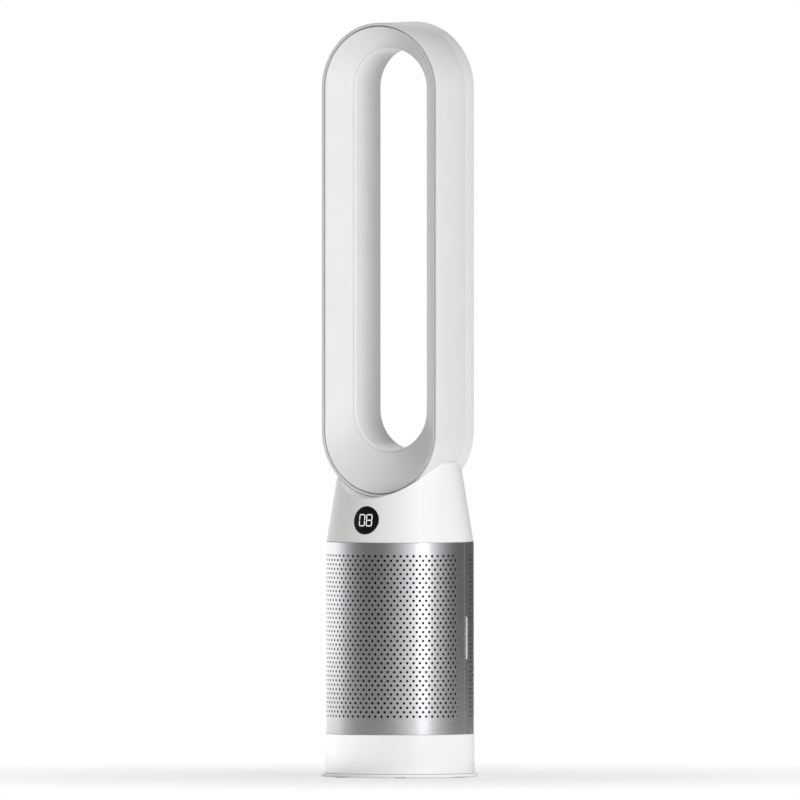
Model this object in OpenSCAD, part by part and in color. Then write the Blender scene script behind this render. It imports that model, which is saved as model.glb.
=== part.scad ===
// Free-standing bladeless tower fan with an air filter.
// Origin on the floor in the middle of the foot, +Z up, front towards -Y, millimetres.

/* [Foot] */
// Width of the foot plate's edge that shows round the base
foot_lip = 5.4; // [4:0.2:14]
// Thickness of the foot plate
foot_t = 4; // [3:0.5:7]
// Radius of the spigot that the machine turns on
spigot_r = 18; // [14:1:20]
// Radius of the bore through the spigot
spigot_bore_r = 9; // [5:1:11]
// Radius of one rubber pad
pad_r = 8; // [5:0.5:10]
// Height that the pads stand out below the plate
pad_proud = 1; // [0.5:0.1:2]
// Number of rubber pads
pad_count = 6; // [4:2:10]

/* [Cord gland] */
// Radius of the gland's bore for the cord
cord_bore_r = 3.6; // [3:0.1:4.5]
// Wall of the rubber bush round the cord
bush_wall = 1.8; // [1.2:0.1:2.5]
// Length of the bush
bush_l = 10; // [8:1:14]

/* [Oscillation drive] */
// Module of the gear teeth
gear_module = 1.8; // [1.6:0.1:1.9]
// Teeth of the ring gear on the foot
ring_teeth = 40; // [38:1:44]
// Teeth of the motor's pinion
pinion_teeth = 10; // [9:1:11]
// Height of the gear teeth along their axis
gear_face = 6; // [4:0.5:9]
// Height of the ring that the turntable slides on
track_h = 3; // [2:0.5:4]
// Radius of the oscillation motor
drive_r = 20; // [16:0.5:21]
// Height of the oscillation motor
drive_h = 25; // [18:1:30]

/* [Base] */
// Radius of the white base
base_r = 103.6; // [102:0.2:104.6]
// Height of the base above the foot plate
base_h = 55; // [50:1:70]
// Wall of the base shell
base_wall = 2.5; // [2:0.1:3.5]
// Width of the flare at the base's bottom edge
base_flare = 1.5; // [0.5:0.1:2]
// Thickness of the turntable
turntable_t = 3; // [2:0.5:4]
// Thickness of the decks that close the base and carry the motor
deck_t = 3; // [2.5:0.5:4]

/* [Filters] */
// Height of the filter part, from the base to the upper body
filter_h = 267.3; // [250:1:290]
// Outer radius of the perforated shroud
shroud_r = 102.9; // [102:0.1:103.4]
// Sheet thickness of the shroud
shroud_t = 1; // [0.8:0.1:1.4]
// Outer radius of the cage inside the filters
cage_r = 62; // [60:0.5:64]
// Wall of the cage
cage_wall = 3; // [2:0.5:4]
// Thickness of the carbon filter
carbon_t = 5; // [4:0.5:6]
// Thickness of the fine filter's frame plates
frame_t = 4; // [3:0.5:5]
// Thickness of the dust screen round the pleats
screen_t = 0.8; // [0.5:0.1:1.2]
// Pleats of one half of the fine filter
pleats = 40; // [24:1:44]
// Width of each side pillar
pillar_w = 24.8; // [24:0.2:27]

/* [Release buttons] */
// Height of a release button
button_h = 61; // [50:1:70]
// Width of a release button
button_w = 9.6; // [8.6:0.2:10]
// Height of the button's middle above the base
button_mid = 134.5; // [120:1:150]
// Travel of the button
button_travel = 2.5; // [1.5:0.1:3]
// Radius of the button spring, to the middle of its wire
spring_r = 2.4; // [2:0.1:2.6]
// Radius of the spring's wire
wire_r = 0.4; // [0.3:0.05:0.5]

/* [Upper body] */
// Outer radius of the cone at its bottom
cone_r0 = 102.2; // [101:0.1:103]
// Outer radius of the cone where it meets the loop
cone_r1 = 83.5; // [82:0.5:85]
// Height over which the cone narrows
cone_h = 115; // [112:1:118]
// Wall of the cone
cone_wall = 3; // [2.5:0.1:3.5]

/* [Display] */
// Radius of the round display window
display_r = 19.5; // [17:0.5:20]
// Height of the window's middle above the cone's bottom
display_mid = 31.3; // [29:0.1:33]
// Thickness of the window
lens_t = 2.4; // [2:0.1:2.6]
// Travel of the window, which is the on and off button
display_travel = 0.8; // [0.4:0.1:1]

/* [Fan unit] */
// Outer radius of the bucket round the fan
bucket_r = 69.3; // [68:0.1:70]
// Wall of the bucket
bucket_wall = 2; // [1.5:0.1:2.5]
// Radius of the intake at its narrowest
eye_r = 48; // [44:1:50]
// Radius of the impeller at its top
impeller_r = 62; // [60:0.5:65]
// Height of the impeller
impeller_h = 17; // [14:0.5:18]
// Blades of the impeller
blade_count = 9; // [7:1:13]
// Vanes of the diffuser
vane_count = 11; // [7:1:15]
// Outer radius of the motor's cup
cup_r = 38; // [36:0.5:40]
// Radius of the motor shaft
shaft_r = 3; // [2.5:0.1:3.5]
// Outer radius of the shaft's bearings
bearing_r = 9.5; // [8.5:0.1:10.5]

/* [Loop] */
// Width of the loop
loop_w = 185; // [180:1:190]
// Height of the loop
loop_h = 660.2; // [500:1:720]
// Height of the loop's lowest point above the cone's bottom
loop_rise = 62.5; // [62:0.5:64]
// Distance from the machine's axis forward to the loop's front
loop_front = 58.3; // [56:0.5:64]
// Depth of the loop from front to rear
loop_depth = 107.8; // [104:0.5:116]
// Width of the opening
opening_w = 112; // [106:1:116]
// Height of the loop's solid part below the opening
sill_h = 64.7; // [60:0.5:72]
// Wall of the loop's shells
loop_wall = 3; // [2.5:0.1:3.5]
// Width of the front rim
rim_w = 4.5; // [4:0.1:5]
// Gap that shows between the rim and the front nozzle
rim_gap = 0.8; // [0.5:0.1:0.9]
// Distance from the machine's axis back to the seam on the loop's outside
seam_y = 22; // [15:0.5:28]
// Distance from the machine's axis back to the seam on the loop's inside
inner_seam_y = 35; // [32:0.5:37]
// Distance from the machine's axis forward to the air slot
slot_y = 22; // [18:0.5:26]
// Width of the air slot
slot_w = 1.5; // [1:0.1:2.5]
// Ribs on each side between the loop's walls
rib_count = 5; // [3:1:8]
// Radius of the duct's mouth into the loop
mouth_r = 42; // [36:0.5:43]

/* [Hidden] */
$fn = 96;
// overrun of every cut
cut = 1;
// clearance between pieces that move past each other
run = 0.3;
// clearance between fixed pieces
fit = 0.2;
// clearance of a shaft in its bearing
shaft_gap = 0.05;

// heights of the main joints
foot_z = pad_proud;
foot_top = foot_z + foot_t;
base_top = foot_top + base_h;
cone_z = base_top + filter_h;
loop_z0 = cone_z + loop_rise;
loop_z1 = loop_z0 + loop_h;
foot_r = base_r + foot_lip;
far = 2 * foot_r;

// foot
foot_edge = foot_t / 3;
pad_ring_r = foot_r - pad_r - 1.5 * foot_t;
pad_sunk = foot_t / 3;
track_w = 8;
track_r = base_r - base_wall - 1.6 * track_w;
boss_wall = bush_wall;
bush_r = cord_bore_r + bush_wall;
bush_flange = bush_wall;
boss_y0 = base_r + base_flare + run;
boss_y1 = foot_r + bush_l;
gland_z = foot_z + boss_wall + fit + bush_r;
lead_slot = cord_bore_r;

// oscillation drive
pressure_angle = 25;
addendum_share = 0.8;
dedendum_share = 1.05;
backlash = gear_module / 8;
flank_steps = 3;
function pitch_r(teeth) = gear_module * teeth / 2;
drive_y = pitch_r(ring_teeth) + pitch_r(pinion_teeth);
pinion_shaft_r = 2.5;
pinion_lift = gear_face / 8;

// turntable
table_z = foot_top + gear_face + 4 * run;
table_top = table_z + turntable_t;
table_r = base_r - base_wall - run;
hub_r = spigot_r + 1.5 * turntable_t;
hub_top = table_top + 2.5 * turntable_t;
clip_t = turntable_t / 2;
clip_depth = clip_t;

// power board
board_t = 1.6;
board_r0 = hub_r + 3 * turntable_t;
board_z = table_top + 2 * turntable_t;
part_h = 10;

// decks: the lower one closes the base, the upper one carries the fan unit
rim_t = deck_t;
rim_in = 2.4 * base_wall;
deck_hole_r = cage_r / 2;
ledge_w = 1.4 * cone_wall;

// side pillars
pillar_r = shroud_r - shroud_t - 2 * run;
pillar_x = cage_r + fit;
pillar_wall = 2.5;
pillar_cap = 2 * pillar_wall;
seam_rib = run;
shroud_edge = seam_rib + run;
lead_r = 2.2;
lead_x = cage_r + 0.55 * (pillar_r - cage_r);
lead_y = pillar_w / 4;
screw_r = 1.8;
screw_head_r = 2 * screw_r;
screw_head_t = 1.2 * screw_r;
screw_grip = 0.6 * pillar_cap;
screw_shares = [0.12, 0.62];
screw_x = [for (share = screw_shares) cage_r + share * (pillar_r - cage_r)];

// filters
half_y = pillar_w / 2 + run;
carbon_r0 = cage_r + run;
carbon_r1 = carbon_r0 + carbon_t;
fine_r0 = carbon_r1 + run;
fine_r1 = shroud_r - shroud_t - run;
pleat_r0 = fine_r0 + frame_t;
pleat_r1 = fine_r1 - frame_t;
pleat_t = 0.8;

// release buttons
button_z = base_top + button_mid;
button_y = shroud_edge + run + button_w / 2;
button_proud = 1.4;
button_depth = 3;
guide_l = 2.4;
pocket_x = pillar_r - button_depth - button_travel - guide_l;
spring_bore_r = spring_r + wire_r + run;
spring_seat = 8;
spring_x0 = pocket_x - spring_seat;
spring_x1 = pillar_r - button_depth;
spring_turns = 6;
ring_steps = 14;
wire_sides = 6;

// upper body
function cone_r(z) = cone_r0 + (cone_r1 - cone_r0) * (z - cone_z) / cone_h;
cone_tilt = atan((cone_r0 - cone_r1) / cone_h);
cone_trim = 0.965 * cone_h;
loop_gap = 0.5;

// display
display_z = cone_z + display_mid;
display_gap = 0.4;
collar_r = display_r + display_gap + pillar_wall;
collar_depth = 8;
module_edge = 2.5;
module_r = display_r - module_edge;
module_front = lens_t + module_r * module_r / (2 * cone_r(display_z)) + fit;
module_t = 2.2;
switch_h = collar_depth - module_front - module_t - display_travel - run;

// fan unit, from the deck upwards
deck_top = cone_z + 2 * deck_t;
mount_h = 3.5;
mount_r = 5.5;
mount_ring_r = bucket_r + 1.2 * mount_r;
mount_count = 4;
lug_t = deck_t;
bell_h = 7;
bell_wall = 1.8;
impeller_z = deck_top + bell_h + 2 * fit;
hub_r0 = 0.4 * cup_r;
rotor_gap = 1.5;
hub_r1 = cup_r - rotor_gap;
blade_t = 1.6;
blade_pitch = 38;
cup_z = impeller_z + impeller_h + rotor_gap;
cup_wall = 2;
bearing_h = 4.5;
stator_h = 11;
stator_z = cup_z + bearing_h + rotor_gap;
rotor_r = 0.38 * cup_r;
upper_bearing_z = stator_z + stator_h + rotor_gap;
cover_z = upper_bearing_z + bearing_h;
cover_t = 2.2;
bucket_top = stator_z + stator_h;
saddle_t = 2;
duct_top = loop_z0 - loop_gap - saddle_t - 4 * run;
seal_w = 3.6;
foam_r0 = bucket_r + 3 * fit;
foam_r1 = cone_r(bucket_top) - (collar_depth + board_t) / cos(cone_tilt);
bracket_w = 40;
bracket_t = 5;
bracket_x = 0.9 * cone_r1;

// loop
loop_r = loop_w / 2;
opening_r = opening_w / 2;
cz_bottom = loop_z0 + loop_r;
cz_top = loop_z1 - loop_r;
cz_sill = loop_z0 + sill_h + opening_r;
rear_y = loop_depth - loop_front;
nozzle_r = loop_r - rim_w - rim_gap;
lip = 1.5;
nozzle_wall = 2.5;
wall_in = 2;
funnel_r0 = nozzle_r - lip;
funnel_r1 = opening_r + wall_in + slot_w;
slot_lap = 2;
outer_edge_r = 6;
inner_edge_r = 8;
tongue = 6;
tongue_t = 1.6;
loop_steps = 28;
edge_steps = 5;

// Round ring between two heights
module ring(r0, r1, z0, z1) {
  translate([0, 0, z0])
    difference() {
      cylinder(r = r1, h = z1 - z0);
      translate([0, 0, -cut]) cylinder(r = r0, h = z1 - z0 + 2 * cut);
    }
}

// Box between two corners
module block(a, b) {
  translate(a) cube(b - a);
}

// Spur gear outline with involute flanks
function roll(rb, r) = r > rb ? sqrt(pow(r / rb, 2) - 1) * 180 / PI : 0;
function involute(rb, a) = rb * [cos(a) + a * PI / 180 * sin(a), sin(a) - a * PI / 180 * cos(a)];
function turned(p, a) = [p.x * cos(a) - p.y * sin(a), p.x * sin(a) + p.y * cos(a)];

function flank(teeth) =
  let (
    rp = pitch_r(teeth),
    rb = rp * cos(pressure_angle),
    rr = rp - dedendum_share * gear_module,
    ro = rp + addendum_share * gear_module,
    half = 90 / teeth - backlash / (4 * rp) * 180 / PI,
    ap = roll(rb, rp),
    shift = half + ap - atan(ap * PI / 180),
    a0 = roll(rb, rr),
    a1 = roll(rb, ro),
    foot = turned([rr, 0], rr < rb ? -shift : a0 - atan(a0 * PI / 180) - shift)
  )
  concat([foot], [for (i = [(rr < rb ? 0 : 1):flank_steps])
    turned(involute(rb, a0 + (a1 - a0) * i / flank_steps), -shift)]);

module gear_outline(teeth) {
  side = flank(teeth);
  n = len(side);
  polygon([for (t = [0:teeth - 1], i = [0:2 * n - 1])
    let (p = i < n ? side[i] : [side[2 * n - 1 - i].x, -side[2 * n - 1 - i].y])
    turned(p, 360 * t / teeth)]);
}

// Foot
module foot_plate() {
  color("#ececea") difference() {
    union() {
      translate([0, 0, foot_z]) rotate_extrude()
        polygon([[0, 0], [foot_r - foot_edge / 2, 0], [foot_r, foot_edge / 2],
          [foot_r, foot_t - foot_edge], [foot_r - foot_edge / 3, foot_t - foot_edge / 3],
          [foot_r - foot_edge, foot_t], [0, foot_t]]);
      translate([0, 0, foot_z]) cylinder(r = spigot_r, h = hub_top + 3 * clip_t - foot_z);
    }
    translate([0, 0, foot_z - cut]) cylinder(r = spigot_bore_r, h = hub_top + 4 * clip_t + 2 * cut);
    ring(spigot_r - clip_depth, spigot_r + cut, hub_top + run, hub_top + run + clip_t);
    block([-lead_slot, 0, foot_z - cut], [lead_slot, foot_r + cut, foot_z + 0.6 * foot_t]);
    block([-lead_slot, boss_y0 + boss_wall, foot_z - cut], [lead_slot, foot_r + cut, foot_top + cut]);
    foot_pad_places() translate([0, 0, -cut]) cylinder(r = pad_r + fit, h = pad_sunk + cut);
  }
}

module foot_pad_places() {
  for (i = [0:pad_count - 1])
    rotate([0, 0, 360 * (i + 0.5) / pad_count - 90]) translate([pad_ring_r, 0, foot_z]) children();
}

// The middle pad stops the spigot's bore
module foot_pads() {
  color("#d6d6d4") {
    foot_pad_places() translate([0, 0, -pad_proud]) cylinder(r = pad_r, h = pad_proud + pad_sunk);
    translate([0, 0, foot_z - pad_proud]) cylinder(r = spigot_bore_r - fit, h = pad_proud + pad_sunk);
  }
}

// Housing over the edge of the foot plate, with a bush in it
module cord_housing() {
  w = bush_r + boss_wall;
  color("#ececea") difference() {
    union() {
      block([-w, boss_y0, foot_z], [w, boss_y1, gland_z]);
      translate([0, boss_y1, gland_z]) rotate([90, 0, 0]) cylinder(r = w, h = boss_y1 - boss_y0);
    }
    translate([0, boss_y1 + cut, gland_z]) rotate([90, 0, 0])
      cylinder(r = bush_r, h = boss_y1 - boss_y0 - boss_wall + cut);
    block([-lead_slot, boss_y0 + boss_wall, foot_z - cut], [lead_slot, boss_y1 - bush_l, gland_z]);
    translate([0, 0, foot_z - cut]) cylinder(r = foot_r + fit, h = foot_t + cut);
  }
}

module cord_gland() {
  color("#d9d9d7") translate([0, boss_y1, gland_z]) rotate([90, 0, 0]) difference() {
    union() {
      cylinder(r = bush_r - fit / 2, h = bush_l - bush_flange);
      translate([0, 0, -bush_flange]) cylinder(r = bush_r + boss_wall / 2, h = bush_flange);
    }
    translate([0, 0, -bush_l]) cylinder(r = cord_bore_r, h = 3 * bush_l);
  }
}

// Oscillation drive
module oscillation_ring_gear() {
  color("#d8d4c4") translate([0, 0, foot_top]) rotate([0, 0, 90])
    linear_extrude(gear_face) difference() {
      gear_outline(ring_teeth);
      circle(r = spigot_r + fit / 2);
    }
}

module oscillation_pinion() {
  color("#d8d4c4") translate([0, drive_y, 0]) {
    translate([0, 0, foot_top + pinion_lift]) rotate([0, 0, -90 + 180 / pinion_teeth])
      linear_extrude(gear_face - pinion_lift) gear_outline(pinion_teeth);
    translate([0, 0, foot_top + pinion_lift])
      cylinder(r = pinion_shaft_r, h = table_top + 0.6 * drive_h - foot_top - pinion_lift);
  }
}

module oscillation_motor() {
  color("#a9abad") translate([0, drive_y, table_top]) difference() {
    union() {
      cylinder(r = drive_r, h = drive_h);
      translate([0, 0, drive_h]) cylinder(r = drive_r / 3, h = turntable_t);
    }
    translate([0, 0, -cut]) cylinder(r = pinion_shaft_r + shaft_gap, h = 0.7 * drive_h + cut);
  }
}

module slide_ring() {
  color("#f4f4f0") ring(track_r - track_w / 2, track_r + track_w / 2, foot_top, foot_top + track_h);
}

module retaining_ring() {
  color("#8d9094") translate([0, 0, hub_top + run]) rotate([0, 0, 30])
    rotate_extrude(angle = 300)
      translate([spigot_r - clip_depth + fit / 2, 0]) square([2.4 * clip_depth, clip_t - fit / 2]);
}

// Base
module turntable() {
  color("#cfd0d0") difference() {
    union() {
      ring(spigot_r + shaft_gap, table_r, table_z, table_top);
      ring(spigot_r + shaft_gap, hub_r, table_z, hub_top);
      ring(track_r - track_w / 2, track_r + track_w / 2, foot_top + track_h + run, table_top);
    }
    translate([0, drive_y, table_z - cut]) cylinder(r = 2 * pinion_shaft_r, h = turntable_t + 2 * cut);
  }
}

module base_shell() {
  flare_h = base_h / 3;
  z0 = foot_top + run;
  color("#f7f7f7") rotate_extrude() polygon(concat(
    [for (i = [0:edge_steps]) let (t = i / edge_steps)
      [base_r + base_flare * pow(1 - t, 2), z0 + flare_h * t]],
    [[base_r, base_top],
      [base_r - rim_in, base_top], [base_r - rim_in, base_top - rim_t],
      [base_r - base_wall, base_top - rim_t], [base_r - base_wall, z0]]
  ));
}

module lower_deck() {
  top_r = base_r - rim_in - fit;
  low_r = base_r - base_wall - fit;
  color("#e4e4e4") difference() {
    rotate_extrude() polygon([
      [deck_hole_r, base_top - rim_t], [top_r - deck_t, base_top - rim_t],
      [top_r - deck_t, base_top - rim_t - deck_t], [low_r, base_top - rim_t - deck_t],
      [low_r, base_top - rim_t], [top_r, base_top - rim_t], [top_r, base_top], [deck_hole_r, base_top]
    ]);
    translate([lead_x, -lead_y, 0]) cylinder(r = lead_r + fit, h = base_top + cut);
    screw_places() translate([0, 0, base_top - rim_t - cut])
      cylinder(r = screw_r + fit, h = rim_t + 2 * cut);
  }
}

module power_board() {
  color("#3f7d4c") {
    difference() {
      ring(board_r0, table_r - 2 * deck_t, board_z, board_z + board_t);
      block([-far, 0, board_z - cut], [far, far, board_z + board_t + cut]);
    }
    for (a = [200, 250, 290, 340])
      rotate([0, 0, a]) translate([0.8 * table_r, 0, table_top])
        cylinder(r = 2 * board_t, h = board_z - table_top);
  }
  top = board_z + board_t;
  color("#2f3338") {
    block([lead_x - part_h / 2, -lead_y - part_h / 2, top],
      [lead_x + part_h / 2, -lead_y + part_h / 3, top + part_h]);
    for (a = [215, 232])
      rotate([0, 0, a]) translate([0.62 * table_r, 0, top]) cylinder(r = 0.85 * part_h, h = 2 * part_h);
    rotate([0, 0, 270])
      block([0.45 * table_r, -1.6 * part_h, top], [0.75 * table_r, 1.6 * part_h, top + 1.8 * part_h]);
    rotate([0, 0, 312]) block([0.5 * table_r, -part_h, top], [0.8 * table_r, part_h, top + 1.3 * part_h]);
  }
}

// Filter part
module filter_cage() {
  rows = 3;
  post = 12;
  bay = filter_h / rows;
  color("#e8e8e8") difference() {
    ring(cage_r - cage_wall, cage_r, base_top, cone_z);
    for (row = [0:rows - 1], a = [22.5:45:179])
      rotate([0, 0, a])
        block([-far, -cage_r * sin(22.5) + post / 2, base_top + bay * row + post / 2],
          [far, cage_r * sin(22.5) - post / 2, base_top + bay * (row + 1) - post / 2]);
  }
}

module screw_places() {
  for (side = [-1, 1], x = screw_x) translate([side * x, 0, 0]) children();
}

module side_pillar() {
  cavity_x = pillar_r - 3 * pillar_wall;
  cavity_y = pillar_w / 2 - pillar_wall;
  pocket_h = button_h + 2 * run;
  y0 = button_y - button_w / 2 - run;
  y1 = button_y + button_w / 2 + run;
  color("#cbcccd") difference() {
    union() {
      intersection() {
        translate([0, 0, base_top]) cylinder(r = pillar_r, h = filter_h);
        block([pillar_x, -pillar_w / 2, base_top], [far, pillar_w / 2, cone_z]);
      }
      block([pillar_r - pillar_wall, -seam_rib, base_top], [shroud_r - run, seam_rib, cone_z]);
    }
    block([pillar_x + pillar_wall, -cavity_y, base_top + pillar_cap],
      [cavity_x, cavity_y, button_z - pocket_h / 2 - pillar_wall]);
    block([pillar_x + pillar_wall, -cavity_y, button_z + pocket_h / 2 + pillar_wall],
      [cavity_x, cavity_y, cone_z - pillar_cap]);
    block([pocket_x, y0, button_z - pocket_h / 2], [far, y1, button_z + pocket_h / 2]);
    translate([spring_x0, button_y, button_z]) rotate([0, 90, 0])
      cylinder(r = spring_bore_r, h = far);
    translate([lead_x, -lead_y, base_top - cut]) cylinder(r = lead_r + fit, h = filter_h + 2 * cut);
    for (x = screw_x, z = [base_top - cut, cone_z - screw_grip - run])
      translate([x, 0, z]) cylinder(r = screw_r + shaft_gap, h = screw_grip + run + cut);
  }
}

module side_pillar_right() {
  side_pillar();
}

module side_pillar_left() {
  mirror([1, 0, 0]) side_pillar();
}

module motor_lead() {
  z0 = board_z + board_t + part_h;
  z1 = deck_top + 3 * lead_r;
  color("#9a2f2a") {
    translate([lead_x, -lead_y, z0]) cylinder(r = lead_r, h = z1 - z0);
    translate([lead_x, -lead_y, z1]) sphere(r = lead_r);
    translate([bucket_r + fit, -lead_y, z1]) rotate([0, 90, 0])
      cylinder(r = lead_r, h = lead_x - bucket_r - fit);
  }
}

module deck_screws() {
  color("#a4a7aa") screw_places() {
    translate([0, 0, deck_top - deck_t]) cylinder(r = screw_head_r, h = screw_head_t);
    translate([0, 0, cone_z - screw_grip]) cylinder(r = screw_r, h = deck_t + screw_grip);
    translate([0, 0, base_top - rim_t - screw_head_t]) cylinder(r = screw_head_r, h = screw_head_t);
    translate([0, 0, base_top - rim_t]) cylinder(r = screw_r, h = rim_t + screw_grip);
  }
}

// Everything of a filter half lies behind the seam; the front half is its mirror image
module rear_half(y0) {
  intersection() {
    children();
    block([-far, y0, 0], [far, far, loop_z1]);
  }
}

module shroud() {
  rear_half(shroud_edge) ring(shroud_r - shroud_t, shroud_r, base_top + run, cone_z - run);
}

module shroud_front() {
  color("#b9bbbc") mirror([0, 1, 0]) shroud();
}

module shroud_rear() {
  notch_y = button_y + button_w / 2 + run;
  notch_h = button_h + 2 * run;
  color("#b9bbbc") difference() {
    shroud();
    block([-far, 0, button_z - notch_h / 2], [far, notch_y, button_z + notch_h / 2]);
  }
}

module fine_filter_frame() {
  z0 = base_top + run;
  z1 = cone_z - run;
  rear_half(half_y) {
    ring(fine_r0, fine_r1, z0, z0 + frame_t);
    ring(fine_r0, fine_r1, z1 - frame_t, z1);
    intersection() {
      ring(fine_r0, fine_r1, z0, z1);
      block([-far, 0, z0], [far, half_y + frame_t, z1]);
    }
  }
}

module fine_filter_frame_front() {
  color("#6d6f71") mirror([0, 1, 0]) fine_filter_frame();
}

module fine_filter_frame_rear() {
  color("#6d6f71") fine_filter_frame();
}

module fine_filter_pleats_half() {
  start = asin((half_y + frame_t + 2 * fit) / pleat_r0);
  step = (180 - 2 * start) / pleats;
  z0 = base_top + run + frame_t;
  // the fold seen along the radius is thicker than the sheet by the fold's slant
  fold = pleat_r1 - pleat_r0;
  band = pleat_t / sin(atan(pleat_r0 * step * PI / 360 / fold));
  outer = [for (i = [0:2 * pleats])
    let (a = start + step * i / 2, r = i % 2 == 0 ? pleat_r1 : pleat_r0 + band) r * [cos(a), sin(a)]];
  inner = [for (i = [2 * pleats:-1:0])
    let (a = start + step * i / 2, r = i % 2 == 0 ? pleat_r1 - band : pleat_r0) r * [cos(a), sin(a)]];
  translate([0, 0, z0]) linear_extrude(cone_z - run - frame_t - z0) polygon(concat(outer, inner));
}

module fine_filter_pleats_front() {
  color("#f6f6f2") mirror([0, 1, 0]) fine_filter_pleats_half();
}

module fine_filter_pleats_rear() {
  color("#f6f6f2") fine_filter_pleats_half();
}

// Dark net round the pleats, held between the frame's plates
module dust_screen() {
  rear_half(half_y + frame_t)
    ring(pleat_r1 + fit, pleat_r1 + fit + screen_t, base_top + run + frame_t, cone_z - run - frame_t);
}

module dust_screen_front() {
  color("#26272a") mirror([0, 1, 0]) dust_screen();
}

module dust_screen_rear() {
  color("#26272a") dust_screen();
}

module carbon_filter() {
  rear_half(half_y) ring(carbon_r0, carbon_r1, base_top + run, cone_z - run);
}

module carbon_filter_front() {
  color("#333436") mirror([0, 1, 0]) carbon_filter();
}

module carbon_filter_rear() {
  color("#333436") carbon_filter();
}

// Release buttons
module release_button() {
  y0 = button_y - button_w / 2;
  color("#eeeeee") intersection() {
    translate([0, 0, button_z - button_h / 2]) cylinder(r = shroud_r + button_proud, h = button_h);
    union() {
      block([spring_x1, y0, button_z - button_h / 2], [far, y0 + button_w, button_z + button_h / 2]);
      translate([spring_x1 - pillar_wall, button_y, button_z]) rotate([0, 90, 0])
        cylinder(r = spring_r - wire_r - fit, h = 2 * pillar_wall);
    }
  }
}

module release_button_right() {
  release_button();
}

module release_button_left() {
  mirror([1, 0, 0]) release_button();
}

// Coil spring along +X, one unbroken wire
module button_spring() {
  coil_l = spring_x1 - spring_x0 - 2 * wire_r - 2 * shaft_gap;
  rings = spring_turns * ring_steps;
  points = [for (i = [0:rings], k = [0:wire_sides - 1])
    let (a = 360 * i / ring_steps, b = 360 * k / wire_sides, r = spring_r + wire_r * cos(b))
    [coil_l * i / rings + wire_r * sin(b), r * cos(a), r * sin(a)]];
  sides = [for (i = [0:rings - 1], k = [0:wire_sides - 1], half = [0, 1])
    let (k1 = (k + 1) % wire_sides, a = i * wire_sides, b = a + wire_sides)
    half == 0 ? [a + k, a + k1, b + k1] : [a + k, b + k1, b + k]];
  first = [for (k = [wire_sides - 1:-1:0]) k];
  last = [for (k = [0:wire_sides - 1]) rings * wire_sides + k];
  color("#9a9da1") translate([spring_x0 + wire_r + shaft_gap, button_y, button_z])
    polyhedron(points, concat(sides, [first, last]));
}

module button_spring_right() {
  button_spring();
}

module button_spring_left() {
  mirror([1, 0, 0]) button_spring();
}

// Fan unit
module upper_deck() {
  low_r = cone_r(cone_z) - cone_wall - ledge_w - fit;
  top_r = cone_r(deck_top) - cone_wall - 2 * fit;
  hole_r = eye_r + bell_h + fit;
  color("#e4e4e4") difference() {
    rotate_extrude() polygon([
      [hole_r, cone_z], [low_r, cone_z], [low_r, cone_z + deck_t], [top_r, cone_z + deck_t],
      [top_r, deck_top], [low_r - deck_t, deck_top], [low_r - deck_t, cone_z + deck_t],
      [hole_r, cone_z + deck_t]
    ]);
    translate([lead_x, -lead_y, cone_z - cut]) cylinder(r = lead_r + fit, h = 2 * deck_t + 2 * cut);
    screw_places() translate([0, 0, cone_z - cut]) cylinder(r = screw_r + fit, h = deck_t + 2 * cut);
  }
}

module intake_bellmouth() {
  z0 = cone_z + deck_t;
  inside = [for (i = [0:edge_steps]) let (a = 90 * i / edge_steps)
    [eye_r + bell_h * (1 - sin(a)), z0 + (bell_h + deck_t) * (1 - cos(a))]];
  outside = [for (i = [edge_steps:-1:0]) inside[i] + [bell_wall, bell_wall]];
  flange_r = eye_r + 1.6 * bell_h;
  color("#c9cacb") rotate_extrude()
    polygon(concat(inside, outside, [[flange_r, z0 + bell_wall], [flange_r, z0]]));
}

module mount_places() {
  for (i = [0:mount_count - 1])
    rotate([0, 0, 360 * (i + 0.5) / mount_count]) translate([mount_ring_r, 0, 0]) children();
}

module rubber_mounts() {
  color("#2f2f31") mount_places() translate([0, 0, cone_z + deck_t])
    cylinder(r = mount_r, h = deck_t + mount_h);
}

module motor_bucket() {
  lug_z = deck_top + mount_h;
  color("#d5d6d7") difference() {
    union() {
      translate([0, 0, deck_top + fit]) cylinder(r = bucket_r, h = bucket_top - deck_top - fit);
      mount_places() translate([0, 0, lug_z]) cylinder(r = 1.3 * mount_r, h = lug_t);
    }
    translate([0, 0, deck_top]) cylinder(r = bucket_r - bucket_wall, h = far);
  }
}

module acoustic_foam() {
  color("#4a4a4c") difference() {
    ring(foam_r0, foam_r1, deck_top + mount_h + 2 * lug_t, bucket_top - 2 * bucket_wall - lug_t);
    block([-far, -0.55 * bracket_w, deck_top], [far, 0.55 * bracket_w, loop_z0]);
  }
}

module impeller() {
  z1 = impeller_z + impeller_h;
  color("#3b3d40") difference() {
    union() {
      translate([0, 0, impeller_z]) cylinder(r1 = hub_r0, r2 = hub_r1, h = impeller_h);
      intersection() {
        translate([0, 0, impeller_z]) cylinder(r1 = eye_r - rotor_gap, r2 = impeller_r, h = impeller_h);
        for (i = [0:blade_count - 1])
          rotate([0, 0, 360 * i / blade_count]) translate([0, 0, impeller_z + impeller_h / 2])
            rotate([blade_pitch, 0, 0])
              block([hub_r0 - 4 * blade_t, -blade_t / 2, -impeller_h], [far, blade_t / 2, impeller_h]);
      }
    }
    translate([0, 0, impeller_z - cut]) cylinder(r = shaft_r + shaft_gap, h = impeller_h + 2 * cut);
    translate([0, 0, z1 - 0.7 * impeller_h])
      cylinder(r1 = 2 * shaft_r, r2 = hub_r1 - 2 * blade_t, h = 0.7 * impeller_h + shaft_gap);
  }
}

module motor_shaft() {
  color("#b4b7ba") {
    translate([0, 0, impeller_z]) cylinder(r = shaft_r, h = cover_z - impeller_z);
    translate([0, 0, stator_z + run]) cylinder(r = rotor_r, h = stator_h - 2 * run);
  }
}

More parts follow.
